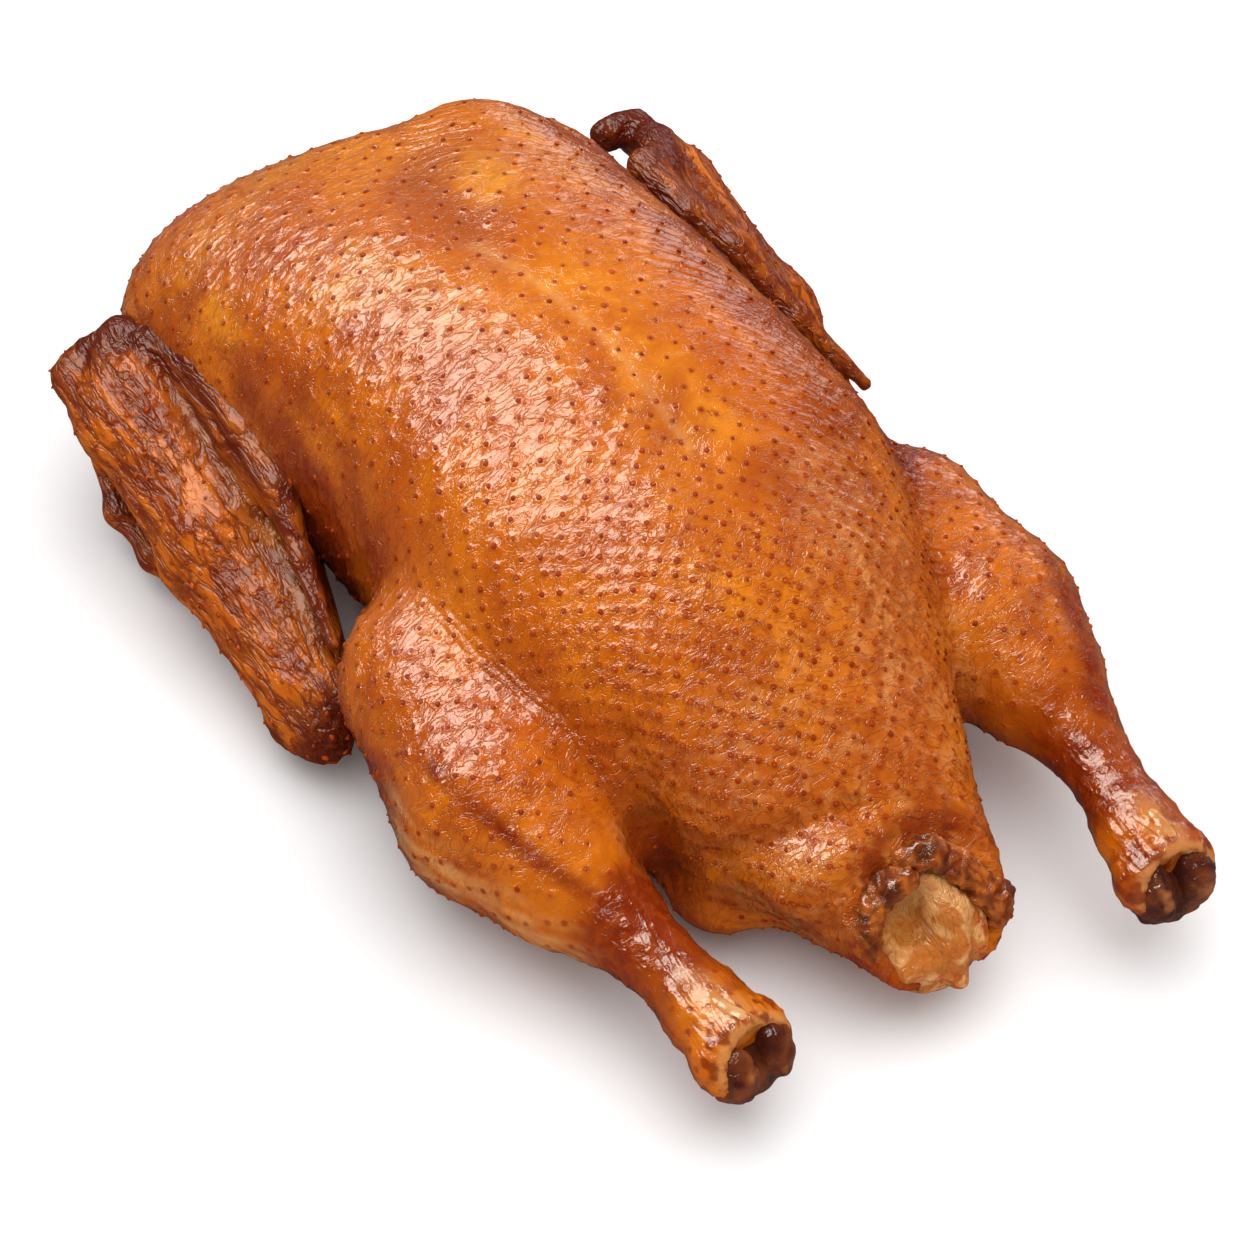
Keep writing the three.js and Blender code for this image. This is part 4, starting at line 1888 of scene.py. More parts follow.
@dataclass(frozen=True)
class RimFinish(Finish):
    """The rolled, charred rim of skin at the vent.

    Attributes:
        brown: its common colour.
        orange: lighter skin, painted on the crests of the folds as painted light and varied by uneven smoke.
        black: char.
    """

    name: str = "rolled_rim"
    brown: Tone = (0.15, 0.020, 0.004)
    orange: Tone = (0.50, 0.125, 0.016)
    black: Tone = (0.045, 0.008, 0.005)

    def make(self, groups: Groups) -> Material:
        """The rim's material.

        Args:
            groups: the shared shader effects.

        Returns:
            The material.
        """
        material, tree, shader = self.start()
        here = tree.here()
        smoke = tree.use(groups.mottle, Place=here, Cloud=190.0, Speck=560.0)
        clouds = smoke.outputs["Clouds"]
        # Lighter on the crests of the folds and darker between them: painted light and shade, varied by
        # uneven smoke.
        crest_light = tree.times(tree.value_of("fold"), tree.scaled(clouds, 0.9, 0.1))
        colour = tree.mix(crest_light, self.brown, self.orange)
        patches = tree.step(tree.noise(here, 120.0, 2.0, 0.5, 0.8), 0.46, 0.62)
        colour = tree.mix(tree.times(patches, 0.75), colour, self.black)
        tree.feed(colour, shader.inputs["Base Color"])
        web = tree.use(groups.creases, Place=here, Grain=(1.0, 1.0, 1.0), Pitch=330.0, Width=0.1)
        self.bend(tree, shader, tree.bump(web.outputs[0], 0.00014))
        return material


# ---------------------------------------------------------------- the duck's skin


@dataclass(frozen=True)
class Stroke:
    """A soft-edged line on the skin of the trunk or of a leg.

    Attributes:
        marks: y, turn and radius of each mark. The turn is in degrees, from the keel and positive to the
            right, or from the top of the leg and positive away from the body. At a mark's radius from the
            line the stroke has faded to a third.
        amount: how strong a tint is, or how far the skin is raised, in mm.
        leg: the leg that it lies on; without one it lies on the trunk.
    """

    marks: tuple[Mark, ...]
    amount: float = 1.0
    leg: Leg | None = None

    def share(self, points: Array) -> Array:
        """How much each point has of the stroke.

        Args:
            points: the places, as (n, 3).

        Returns:
            A share for each point, from 0 to 1.
        """
        nearest = np.full(len(points), np.inf)
        places = lay_out(self)
        for a, b in zip(places, places[1:]):
            run = b[:3] - a[:3]
            off = points - a[:3]
            t = np.clip(off @ run / (run @ run), 0.0, 1.0)
            gap = np.linalg.norm(off - t[:, None] * run, axis=1)
            nearest = np.minimum(nearest, gap / (a[3] + (b[3] - a[3]) * t))
        return self.amount * np.exp(-(nearest**2))


@lru_cache(maxsize=None)
def lay_out(stroke: Stroke) -> Array:
    """Finds a stroke's marks on the duck's skin.

    Args:
        stroke: the stroke.

    Returns:
        x, y, z and radius of each mark.
    """
    y, turn, radius = np.array(stroke.marks, float).T
    form = stroke.leg or DUCK.trunk
    points, _ = settle(DUCK, form.ring(y, np.radians(turn)), 3.0, 4)
    return np.column_stack([points, radius])


DUCK = Carcass()
# Along the middle of the breast and the belly, and beside it.
FRONT_DIP = ((125, 2, 10), (100, -1, 11), (80, -2, 9))
KEEL = ((45, 1, 10), (33, 2, 12), (13, 5, 10), (-12, 6, 9))
BELLY_FOLD = ((-30, -13, 9), (-48, -12, 9), (-62, -12, 9), (-80, -15, 7))
# Between the left thigh and the belly, and between the thigh and the tail.
LEFT_FOLD = ((-61, -65, 5), (-69, -72, 5), (-74, -89, 7), (-76, -105, 7))
TAIL_FOLD = ((-90, -85, 5), (-94, -70, 5), (-98, -58, 4.5), (-102, -35, 4.5), (-105, -14, 4))

MOUNDS = (
    Stroke(((70, -6, 7), (40, -2, 7), (10, -1, 7), (-20, 0, 6)), -0.9),
    Stroke(FRONT_DIP, -2.0),
    Stroke(((115, 17, 20), (100, 11, 13)), 1.4),
    Stroke(((128, -8, 12), (136, -5, 10)), -1.0),
    Stroke(BELLY_FOLD, 1.5),
    Stroke(((-110, -31, 6.5), (-110, -54, 7), (-107, -78, 7)), 4.2),
    Stroke(TAIL_FOLD, -3.0),
    Stroke(LEFT_FOLD[:3], -2.4),
    Stroke(LEFT_FOLD[2:], -2.4),
    Stroke(((-96, -107, 8), (-104, -116, 7)), -1.6),
)
CALM = (Stroke(((62, 1, 9), (33, 3, 12), (13, 5, 12), (-12, 6, 10), (-34, 6, 9)), 0.8),)
# A painted sheen of reflected light, in streaks, on the underside of the left thigh.
UNDER_THIGH_SHEEN = Stroke(((-36, 83, 8), (-54, 90, 8), (-71, 90, 8), (-84, 104, 7)), 0.55, LEFT_LEG)
KEEL_LINE = Stroke(((70, -5, 2.6), (47, -2, 1.5), (20, 0, 1.3), (-17, 0, 1.6)), 0.3)
FAN = Stroke(((-67, -72, 9), (-73, -81, 10), (-79, -91, 9)))
# Smoked marks on the skin. Several are painted shade, each noted below.
SMOKE_AND_SHADE = (
    # Painted shade in the fold beside the left thigh.
    Stroke(((-69, -74, 4), (-75, -87, 5), (-83, -92, 6)), 0.4),
    # Painted shade in the dip at the front of the breast.
    Stroke(FRONT_DIP, 0.26),
    # Painted shade on the body beside the left wing, here and in the next two marks.
    Stroke(((90, -78, 9), (70, -81, 12), (54, -86, 18), (46, -97, 20)), 0.75),
    Stroke(((70, -64, 9), (53, -69, 10)), 0.5),
    Stroke(((45, -71, 10), (34, -79, 10), (26, -87, 12)), 0.65),
    Stroke(((-40, 41, 3), (-62, 36, 3), (-77, 32, 4), (-95, 11, 6)), 0.85, LEFT_LEG),
    Stroke(((-89, 21, 6), (-97, 0, 8), (-106, -12, 9), (-117, 8, 5)), 0.85, LEFT_LEG),
    # Painted shade on the lower outer side of the left leg, here and in the next mark.
    Stroke(((-52, 65, 9), (-76, 54, 10), (-92, 52, 8)), 0.42, LEFT_LEG),
    Stroke(((-36, 70, 10), (-57, 78, 11), (-76, 94, 11), (-91, 101, 9)), 0.32, LEFT_LEG),
    # Painted shadow in the gap between the body and the right wing.
    Stroke(((99, 56, 6), (74, 55, 6), (59, 58, 7), (43, 60, 7), (20, 67, 8)), 0.9),
    Stroke(((-61, 37, 6), (-84, 35, 7), (-99, 27, 9), (-112, 3, 9), (-122, -18, 6)), 0.85, RIGHT_LEG),
    Stroke(((-40, 60, 8), (-59, 52, 7), (-72, 47, 6)), 0.6, RIGHT_LEG),
    Stroke(((-30, -2, 22), (-66, 12, 18)), 0.25, RIGHT_LEG),
    Stroke(((-106, 12, 8), (-108, 45, 8)), 0.35),
    Stroke(((-113, -14, 5), (-112, 8, 5), (-114, 33, 5)), 0.6),
    Stroke(((-110, -95, 6), (-128, -120, 6), (-140, -165, 6)), 0.45),
    Stroke(((0, -2, 12), (-18, 8, 14), (-34, 12, 12)), 0.27),
)
# Golden skin. The first two marks on the top of the breast, the belly fold and the flap by the vent lie where
# the skin catches the light and are partly a painted highlight.
GOLD_AND_HIGHLIGHT = (
    Stroke(((80, -28, 12), (64, -22, 10)), 0.8),
    Stroke(((104, 9, 10), (84, 6, 9)), 0.9),
    Stroke(KEEL, 0.6),
    Stroke(((114, -57, 8), (104, -62, 7)), 0.7),
    Stroke(BELLY_FOLD, 0.4),
    Stroke(((-108, -36, 7), (-107, -52, 7)), 0.7),
    Stroke(((-122, 21, 6), (-130, -8, 8)), 0.4, LEFT_LEG),
    Stroke(((128, -51, 13), (140, -26, 12), (142, 0, 10)), 0.5),
    Stroke(((120, 26, 9), (96, 31, 9), (85, 28, 7)), 0.5),
)
TANNED = (
    Stroke(((-42, 26, 16), (-66, 29, 18), (-84, 27, 13)), 0.75),
    Stroke(((-93, 1, 12), (-96, 12, 12)), 0.5),
    Stroke(((-98, -94, 8), (-112, -95, 9)), 0.7),
    Stroke(((-66, 69, 7), (-79, 84, 7)), 0.7),
    Stroke(((-72, -34, 4), (-84, -50, 5)), 0.6, LEFT_LEG),
)


def strongest(strokes: tuple[Stroke, ...], points: Array) -> Array:
    """The strongest share that each point has of any stroke."""
    return np.max([stroke.share(points) for stroke in strokes], axis=0)


@dataclass
class Skin:
    """The skin over trunk and legs, with its folds, rows, follicles and stubs.

    Attributes:
        carcass: the form under it.
        cell: how fine the net is.
        swell: how far a follicle swells the skin.
        sag: how uneven the skin is over its broad bumps.
        ripple: how high the ripples are.
    """

    carcass: Carcass
    cell: float = 1.15
    swell: float = 0.42
    sag: float = 0.7
    ripple: float = 0.45

    def build(self, bench: Bench, groups: Groups) -> None:
        """Makes the skin and its stubs.

        Args:
            bench: makes the objects.
            groups: the shared shader effects.
        """
        net = NetMaker(self.cell).over(self.carcass, self.carcass.low, self.carcass.high)
        quills = QuillLayout().over(self.carcass, net)
        log.info("follicles: %d", len(quills.points))
        base = net.points
        which, gap = quills.nearest(base)
        masks = self.masks(base)
        net.values = {
            **masks,
            "quill_gap": gap,
            "quill_at": bench.metres(quills.points[which]),
            "row": self.rows(base),
        }
        height = self.relief(base, masks, gap)
        net.raise_by(height)
        stubs = self.masks(quills.points)
        lifted = self.relief(quills.points, stubs, np.zeros(len(quills.points)))
        raised = QuillField(quills.points + quills.normals * lifted[:, None], quills.normals)
        size = (1.0 - 0.9 * stubs["bare"]) * (1.0 - 0.75 * stubs["shank"])
        net.values["quill_at"] = bench.metres(raised.points[which])
        bench.make("duck_skin", net, SkinFinish().make(groups), Slot.SKIN, ("duck_body",))
        tips = QuillTips().over(raised, size)
        bench.make("quill_stubs", tips, QuillFinish().make(groups), Slot.SKIN, ())

    def masks(self, points: Array) -> dict[str, Array]:
        """Where the skin is pale, dark, rippled or drawn, each from 0 to 1.

        Args:
            points: places on the skin.

        Returns:
            The masks by name.
        """
        x, y, z = points.T
        centre, half, low, high = self.carcass.trunk.read(y)
        tall = (z - low) / np.maximum(high - low, 1.0)
        side = (x - centre) / half
        shank = np.zeros(len(points))
        trunk = self.carcass.trunk.distance(points)
        band = np.zeros(len(points))
        crease = np.zeros(len(points))
        seam = np.full(len(points), 60.0)
        for leg in self.carcass.legs:
            apart = leg.limb.distance(points) - trunk
            seam = np.where(np.abs(apart) < np.abs(seam), apart, seam)
            along = leg.limb.along(points)
            shank = np.maximum(shank, ease(apart, 6.0, -5.0) * ease(along, 0.40, 0.66))
            on_leg = ease(leg.limb.distance(points), 9.0, 4.0)
            band = np.maximum(band, ease(along, 0.50, 0.70) * ease(along, 0.95, 0.82) * on_leg)
            crease = np.maximum(crease, np.exp(-((apart / 7.0) ** 2)) * ease(y, 12.0, -20.0))
        crease *= ease(np.abs(trunk), 9.0, 2.0)
        keel = np.exp(-((side / 0.28) ** 2)) * ease(tall, 0.7, 0.95)
        # Gold along the keel and on the golden marks, some of which are partly a painted highlight.
        gold = np.maximum(0.3 * keel * ease(y, -90.0, -40.0), strongest(GOLD_AND_HIGHLIGHT, points))
        rear = 0.35 * ease(y, -50.0, -85.0) * ease(tall, 0.25, 0.7) * (1 - shank)
        tan = np.maximum(rear, strongest(TANNED, points))
        # Painted shade: darker low on the flanks, where less light falls. The right side is darker too.
        low_flank_shade = ease(tall, 0.66, 0.3) * (1 - shank) * (0.4 + 0.6 * ease(y, -75.0, -25.0))
        right = ease(side, 0.3, 0.75) * ease(y, -70.0, -10.0)
        # Painted shade on the body beside the left wing, and a painted shadow in the gap beside the right
        # wing.
        shade_behind_left_wing = ease(-side, 0.75, 0.95) * ease(y, 30.0, 50.0)
        shade_by_right_wing = ease(side, 0.84, 0.97) * ease(y, 30.0, 50.0)
        # The smoke mask darkens towards mahogany. Besides smoked tones it holds painted shade: low on the
        # flanks, in the crease where each leg meets the body, beside both wings, and the shaded marks among
        # the smoked strokes.
        smoke = np.maximum(0.68 * low_flank_shade, 0.5 * right) + 0.22 * shank + 0.26 * crease
        smoke = smoke + 0.2 * shade_behind_left_wing + 0.6 * shade_by_right_wing
        smoke = np.maximum(smoke + 0.58 * band, strongest(SMOKE_AND_SHADE, points))
        ripple = ease(side, 0.3, 0.65) * ease(tall, 0.3, 0.5) * (1 - shank) * ease(trunk, 6.0, 2.0)
        ripple = np.maximum(ripple, 0.3 * ease(-side, 0.5, 0.8) * (1 - shank) * ease(y, -30.0, 20.0))
        ripple = np.maximum(ripple, 0.8 * ease(y, 92.0, 125.0) * ease(side, -0.5, 0.0) * ease(tall, 0.3, 0.7))
        bare = np.zeros(len(points))
        # Pale along the keel line, and in streaks under the left thigh as a painted sheen of reflected light.
        streaks = 0.5 + 1.1 * Noise(8).at(points, (5.0, 22.0, 3.2))
        pale = np.maximum(KEEL_LINE.share(points), UNDER_THIGH_SHEEN.share(points) * streaks.clip(0, 1.2))
        for hock in (LEFT_HOCK, RIGHT_HOCK):
            local = hock.leg.hock.local(points)
            reach = np.linalg.norm(local, axis=1)
            bare = np.maximum(bare, ease(local[:, 2], -15.0, -5.0) * ease(reach, 27.0, 22.0))
            pale = np.maximum(pale, 0.3 * ease(hock.cord.distance(points), 4.0, 0.0))
            rim = ease(local[:, 2], -2.2, -0.4) * ease(reach, 20.0, 17.0)
            pale = np.maximum(pale, 0.4 * rim)
        smoke = smoke * (1 - 0.3 * bare) + 0.14 * bare
        opening = self.carcass.vent.at.local(points)
        by_vent = ease(np.linalg.norm(opening, axis=1), 30.0, 22.0) * ease(opening[:, 2], -9.0, -2.0)
        bare = np.maximum(bare, by_vent)
        smoke = smoke + 0.15 * by_vent
        rough = np.maximum(tan, ease(y, -15.0, -65.0))
        rough = np.maximum(rough, 0.85 * ease(-side, 0.25, 0.55) * ease(y, 10.0, 55.0))
        return {
            "gold": gold.clip(0, 1),
            "tan": tan.clip(0, 1),
            "smoke": smoke.clip(0, 1),
            "shank": shank,
            "ripple": ripple.clip(0, 1),
            "crease": crease,
            "seam": seam,
            "pale": pale.clip(0, 1),
            "bare": bare,
            "calm": strongest(CALM, points).clip(0, 1),
            "rough": rough.clip(0, 1) * (1 - shank),
        }

    def rows(self, points: Array) -> Array:
        """Where along the body each place's row of ripples starts, as these slant down the right side.

        Args:
            points: the places, as (n, 3).

        Returns:
            That place for each point, in mm.
        """
        x, y, z = points.T
        centre, half, low, high = self.carcass.trunk.read(y)
        turned = np.arctan2(x - centre, np.maximum(z - (low + high) / 2, -20.0) + 1e-3)
        right = 0.45 * np.maximum(turned - 0.15, 0.0) * (half + high - low) / 2
        return y + right - 0.1 * np.minimum(turned, 0.0) * half

    def relief(self, points: Array, masks: dict[str, Array], gap: Array) -> Array:
        """How far the skin stands off the plain form.

        Args:
            points: places on the skin.
            masks: their masks.
            gap: how far off the nearest follicle is.

        Returns:
            A height for each place.
        """
        broad = Noise(3).at(points, 26.0) * self.sag + Noise(4).at(points, 11.0) * 0.22
        swell = self.swell * np.exp(-((gap / 1.7) ** 2)) * (1 - masks["bare"]) * (1 - 0.85 * masks["calm"])
        ripple = self.ripple * masks["ripple"] * np.sin(self.rows(points) * 2.0 * math.pi / RIPPLE)
        turn = masks["seam"] * 2.0 * math.pi / PLEAT
        pleats = 0.32 * FAN.share(points) * np.sin(turn + Noise(6).at(points, 12.0) * 2.0)
        crumple = (1.0 - 2.2 * np.abs(Noise(5).at(points, 4.2))) * 0.6 * masks["bare"]
        shaped = sum(stroke.share(points) for stroke in MOUNDS)
        on_table = ease(points[:, 2], 1.0, 6.0)
        return (broad + swell + ripple + pleats + crumple + shaped) * on_table


# ---------------------------------------------------------------- wings


@dataclass(frozen=True)
class WingShape:
    """A folded wing: the wrist at the front, the elbow and the tip of the hand at the tail.

    Attributes:
        side: which side it is on.
        forearm: the broad forearm.
        cap: the knobs of the wrist.
        hand: the thin hand bones along the inner side.
        web: the thin meat between forearm and hand.
        elbow: the knobby elbow.
        upper: the upper arm between forearm and body.
        low: the lowest corner of the box that the wing is meshed in.
        high: that box's highest corner.
        seam: how softly its parts run into each other.
    """

    side: Side
    forearm: Form
    cap: Form
    hand: Form
    web: Form
    elbow: Form
    upper: Form
    low: Spot
    high: Spot
    seam: float = 3.0

    @property
    def parts(self) -> tuple[Form, ...]:
        """Every part, in the order in which they are tinted."""
        return (self.forearm, self.cap, self.hand, self.web, self.elbow, self.upper)

    def distance(self, points: Array) -> Array:
        """Distance from the wing's surface."""
        return Cluster(self.parts, self.seam).distance(points)

    def shares(self, points: Array, spread: float = 1.6) -> Array:
        """How much of each place belongs to each part, as (parts, n).

        Args:
            points: the places, as (n, 3).
            spread: how far one part blends into the next.

        Returns:
            The shares.
        """
        gaps = np.array([part.distance(points) for part in self.parts])
        weights = np.exp((gaps.min(0) - gaps) / spread)
        return weights / weights.sum(0)


LEFT_WING = WingShape(
    side=Side.LEFT,
    forearm=Cluster(
        (
            Limb(
                ((-93.5, 22, 15.5, 9.5), (-97.8, 79, 27, 9.3), (-99.8, 126, 40, 9.0), (-102.0, 146, 44, 7.2)),
                9.0,
            ),
            Limb(((-88.0, 24, 23, 8.6), (-89.5, 79, 38, 7.6), (-90.5, 128, 51.5, 8.0)), 9.0),
            Limb(((-92.5, 30, 21.5, 9.4), (-95.0, 79, 33.6, 8.8), (-96.0, 132, 47.6, 8.6)), 9.0),
        ),
        5.0,
    ),
    cap=Cluster(
        (
            Limb(((-102.0, 145.5, 42.5, 6.2), (-96.5, 147.0, 48.5, 5.2), (-88.8, 143.0, 54.0, 6.0)), 3.0),
            Limb(((-88.8, 143.0, 54.0, 6.0), (-82.5, 132, 56.5, 6.0), (-75.8, 117.5, 59.0, 7.0)), 3.0),
            Ball((-93.5, 137.5, 52.0), (7.0, 8.0, 5.5)),
        ),
        3.0,
    ),
    hand=Cluster(
        (
            Limb(((-75.6, 116, 60, 6.4), (-76.2, 91.3, 57, 4.6), (-76.4, 70.5, 52.5, 5.4)), 4.0),
            Limb(((-76.6, 69.7, 52.5, 4.8), (-80.2, 50, 45.0, 2.8), (-84.5, 25, 37.5, 1.8)), 3.0),
            Limb(((-80.5, 118, 57.5, 3.8), (-80.4, 92, 52.5, 2.8), (-79.6, 66, 48.5, 2.4)), 4.0),
        ),
        1.8,
    ),
    web=Limb(((-82.0, 116, 50.5, 5.5), (-82.0, 79, 42.0, 5.0), (-82.5, 34, 31, 4.6)), 6.0),
    elbow=Cluster(
        (
            Ball((-92.5, 17, 16.5), (9.0, 8.8, 9.6)),
            Ball((-88.0, 20, 24.5), (7.0, 8.5, 6.5)),
            Ball((-96.5, 26, 13.0), (7.5, 8.0, 7.5)),
        ),
        3.5,
    ),
    upper=Cluster(
        (
            Limb(((-89, 23, 16, 9.5), (-70.5, 111, 35, 14)), 9.0),
            Limb(
                ((-102, 138, 24, 3.4), (-105.5, 119, 15, 3.0), (-103.4, 101, 12, 3.2), (-98.5, 80, 12, 3.6)),
                6.0,
            ),
        ),
        5.0,
    ),
    low=(-116, 2, -1),
    high=(-54, 162, 70),
)
RIGHT_WING = WingShape(
    side=Side.RIGHT,
    forearm=Cluster(
        (
            Limb(
                ((86.5, 33, 15.5, 6.8), (89.6, 79, 30, 7.4), (85.8, 128, 45, 7.2), (81.5, 145, 51, 5.8)),
                9.0,
            ),
            Limb(((82.5, 34, 22.0, 6.2), (85.0, 79, 37.0, 6.6), (82.0, 128, 51.5, 6.8)), 9.0),
            Limb(((84.5, 35, 19.0, 7.0), (88.6, 79, 34.8, 7.4), (85.2, 130, 49.5, 7.4)), 9.0),
        ),
        5.0,
    ),
    cap=Cluster(
        (
            Limb(((71.8, 149.5, 54.5, 5.0), (76.0, 149.0, 55.5, 4.4), (80.5, 147.5, 55.0, 5.2)), 2.5),
            Limb(((80.5, 147.5, 55.0, 5.2), (81.0, 136, 56.0, 6.0), (76.0, 124, 58.0, 6.0)), 3.0),
            Ball((83.0, 139.5, 53.0), (6.0, 8.0, 5.0)),
        ),
        2.5,
    ),
    hand=Cluster(
        (
            Limb(((71.6, 126.5, 59.5, 5.8), (73.6, 104.6, 57, 4.7), (79.3, 88.7, 53.5, 5.2)), 4.0),
            Limb(((79.3, 88.7, 53.5, 5.2), (84.8, 62.6, 44, 3.4), (92.5, 39.8, 34, 1.9)), 3.0),
            Limb(((76.5, 122, 56.0, 3.6), (78.0, 98, 51.5, 2.8), (81.5, 76, 46.5, 2.6)), 4.0),
        ),
        1.8,
    ),
    web=Limb(((78.5, 120, 51.5, 5.0), (82.5, 85, 43.5, 4.6), (87.0, 48, 33, 3.8)), 6.0),
    elbow=Cluster(
        (
            Ball((85.0, 32, 16.5), (7.5, 8.5, 8.5)),
            Ball((87.5, 42, 17.5), (6.4, 8.5, 7.0)),
        ),
        3.5,
    ),
    upper=Limb(((85.5, 30, 17.5, 8), (68.5, 111, 35, 14)), 9.0),
    low=(50, 8, -1),
    high=(112, 162, 70),
)


@dataclass
class Wing:
    """A wing's mesh, with its strands, crinkles and stubs.

    Attributes:
        shape: the form under it.
        cell: how fine the net is.
        strand: how deep the lengthwise wrinkles are.
        crinkle: how deep the crinkles at the elbow and the wrist are.
        smoke: how dark each part is smoked, in the order of the shape's parts.
        seed: starts the random draws.
    """

    shape: WingShape
    cell: float = 0.8
    strand: float = 0.48
    crinkle: float = 0.75
    smoke: tuple[float, ...] = (0.16, 1.0, 0.68, 0.0, 1.0, 0.5)
    seed: int = 31

    def build(self, bench: Bench, groups: Groups) -> None:
        """Makes the wing and its stubs.

        Args:
            bench: makes the objects.
            groups: the shared shader effects.
        """
        word = self.shape.side.word
        net = NetMaker(self.cell).over(self.shape, self.shape.low, self.shape.high)
        net.values = self.masks(net.points)
        spots = self._scatter(net)
        quills = QuillField(*settle(self.shape, spots, 1.0, 2))
        which, gap = quills.nearest(net.points)
        lifted = self.relief(quills.points)
        raised = QuillField(quills.points + quills.normals * lifted[:, None], quills.normals)
        net.values["quill_gap"] = gap
        net.values["quill_at"] = bench.metres(raised.points[which])
        net.raise_by(self.relief(net.points) + 0.3 * np.exp(-((gap / 1.4) ** 2)))
        bench.make(f"wing_{word}", net, WingFinish().make(groups), Slot.SKIN, ("duck_body",))
        maker = QuillTips(radius=(0.72, 0.16), height=(0.6, 0.2), lean=0.9)
        tips = maker.over(raised, np.ones(len(raised.points)))
        bench.make(f"wing_stubs_{word}", tips, QuillFinish().make(groups), Slot.SKIN, ())

    def _scatter(self, net: Surface) -> Array:
        """Places for stubs on the forearm and the elbow.

        Args:
            net: the wing's mesh.

        Returns:
            The places, as (n, 3).
        """
        draw = np.random.default_rng(self.seed)
        offered = net.points[draw.permutation(len(net.points))[:6000]]
        shares = self.shape.shares(offered)
        outside = (shares[0] + shares[4] > 0.6) & (offered[:, 2] > 2.0)
        return thin_out(offered[outside], 0, 4.6, 4.6)

    def masks(self, points: Array) -> dict[str, Array]:
        """Tints of the wing, each from 0 to 1.

        Args:
            points: the places, as (n, 3).

        Returns:
            Each tint for each point.
        """
        shares = self.shape.shares(points)
        smoke = (shares * np.array(self.smoke)[:, None]).sum(0)
        between = shares[0] * shares[3] + shares[2] * shares[3] + shares[0] * shares[2]
        return {
            "smoke": smoke.clip(0, 1),
            "web": shares[3],
            "crinkled": (shares[1] * 0.7 + shares[4]).clip(0, 1),
            "smooth": shares[2] + 0.6 * shares[3],
            # Where forearm, web and hand meet; the finish paints shade into these grooves.
            "groove_shade": (3.6 * between).clip(0, 1),
        }

    def relief(self, points: Array) -> Array:
        """How far the wing's skin stands off its plain form.

        Args:
            points: the places, as (n, 3).

        Returns:
            The height for each point.
        """
        shares = self.shape.shares(points)
        level = points.copy()
        level[:, 2] -= 0.24 * points[:, 1]
        folds = 1.0 - 2.2 * np.abs(Noise(21).at(level, (4.6, 40.0, 4.6)))
        fine = 1.0 - 2.2 * np.abs(Noise(22).at(level, (2.2, 11.0, 2.2)))
        knots = 1.0 - 2.2 * np.abs(Noise(23).at(points, 5.2))
        small = 1.0 - 2.2 * np.abs(Noise(24).at(points, 2.6))
        broad = Noise(25).at(points, 15.0) * 0.35
        long_way = (shares[0] + 0.6 * shares[5] + 0.7 * shares[2] + 0.7 * shares[3]) * self.strand
        rough = (shares[4] + 0.75 * shares[1] + 0.12 * shares[0] + 0.25 * shares[2]) * self.crinkle
        return broad + long_way * (folds * 0.6 + fine * 0.4) + rough * (knots * 0.7 + small * 0.4) - 0.25


# ---------------------------------------------------------------- cut ends


@dataclass(frozen=True)
class HockShape:
    """What shows at a cut hock, in the frame of the cut.

    Attributes:
        leg: the leg that it ends.
        lobes: middle and half sizes of the joint's knuckles.
        tendon: places along the pale tendon on top, from the point under the keel.
        shaft: the bone's radius inside the leg.
    """

    leg: Leg
    lobes: tuple[tuple[Spot, Spot], ...]
    tendon: tuple[Place, ...]
    shaft: float = 4.6

    @property
    def joint(self) -> Form:
        """The knuckles and the bone behind them."""
        at = self.leg.hock
        balls = tuple(at.ball(middle, radii) for middle, radii in self.lobes)
        start = self.leg.places[-3][:3]
        bone = Limb(((*start, self.shaft), (*at.place(0, 0, -6), self.shaft)), 1.0)
        return Cluster((*balls, bone), 1.2)

    @property
    def cord(self) -> Form:
        """The tendon."""
        return Limb(self.tendon, 2.5)


LEFT_HOCK = HockShape(
    LEFT_LEG,
    (
        ((-5.6, -1.0, -2.2), (5.2, 8.0, 5.8)),
        ((6.2, 0.6, -2.0), (5.4, 8.2, 6.0)),
        ((0.4, -3.6, -5.8), (11.6, 8.4, 5.4)),
    ),
    (
        (-59.7, -113, 35.8, 1.0),
        (-58.1, -121.5, 36.0, 1.6),
        (-56.6, -126.3, 35.8, 2.0),
        (-54.9, -130.6, 35.6, 2.6),
    ),
)
RIGHT_HOCK = HockShape(
    RIGHT_LEG,
    (
        ((-5.4, 0.6, -2.0), (4.9, 8.6, 6.0)),
        ((5.8, 0.8, -2.2), (5.5, 8.4, 6.0)),
        ((0.4, -3.6, -5.8), (11.4, 8.4, 5.4)),
    ),
    (
        (64.2, -128, 41.4, 1.0),
        (64.9, -134.2, 41.0, 1.7),
        (65.1, -137.6, 40.2, 2.1),
        (65.0, -141.0, 39.4, 2.7),
    ),
)


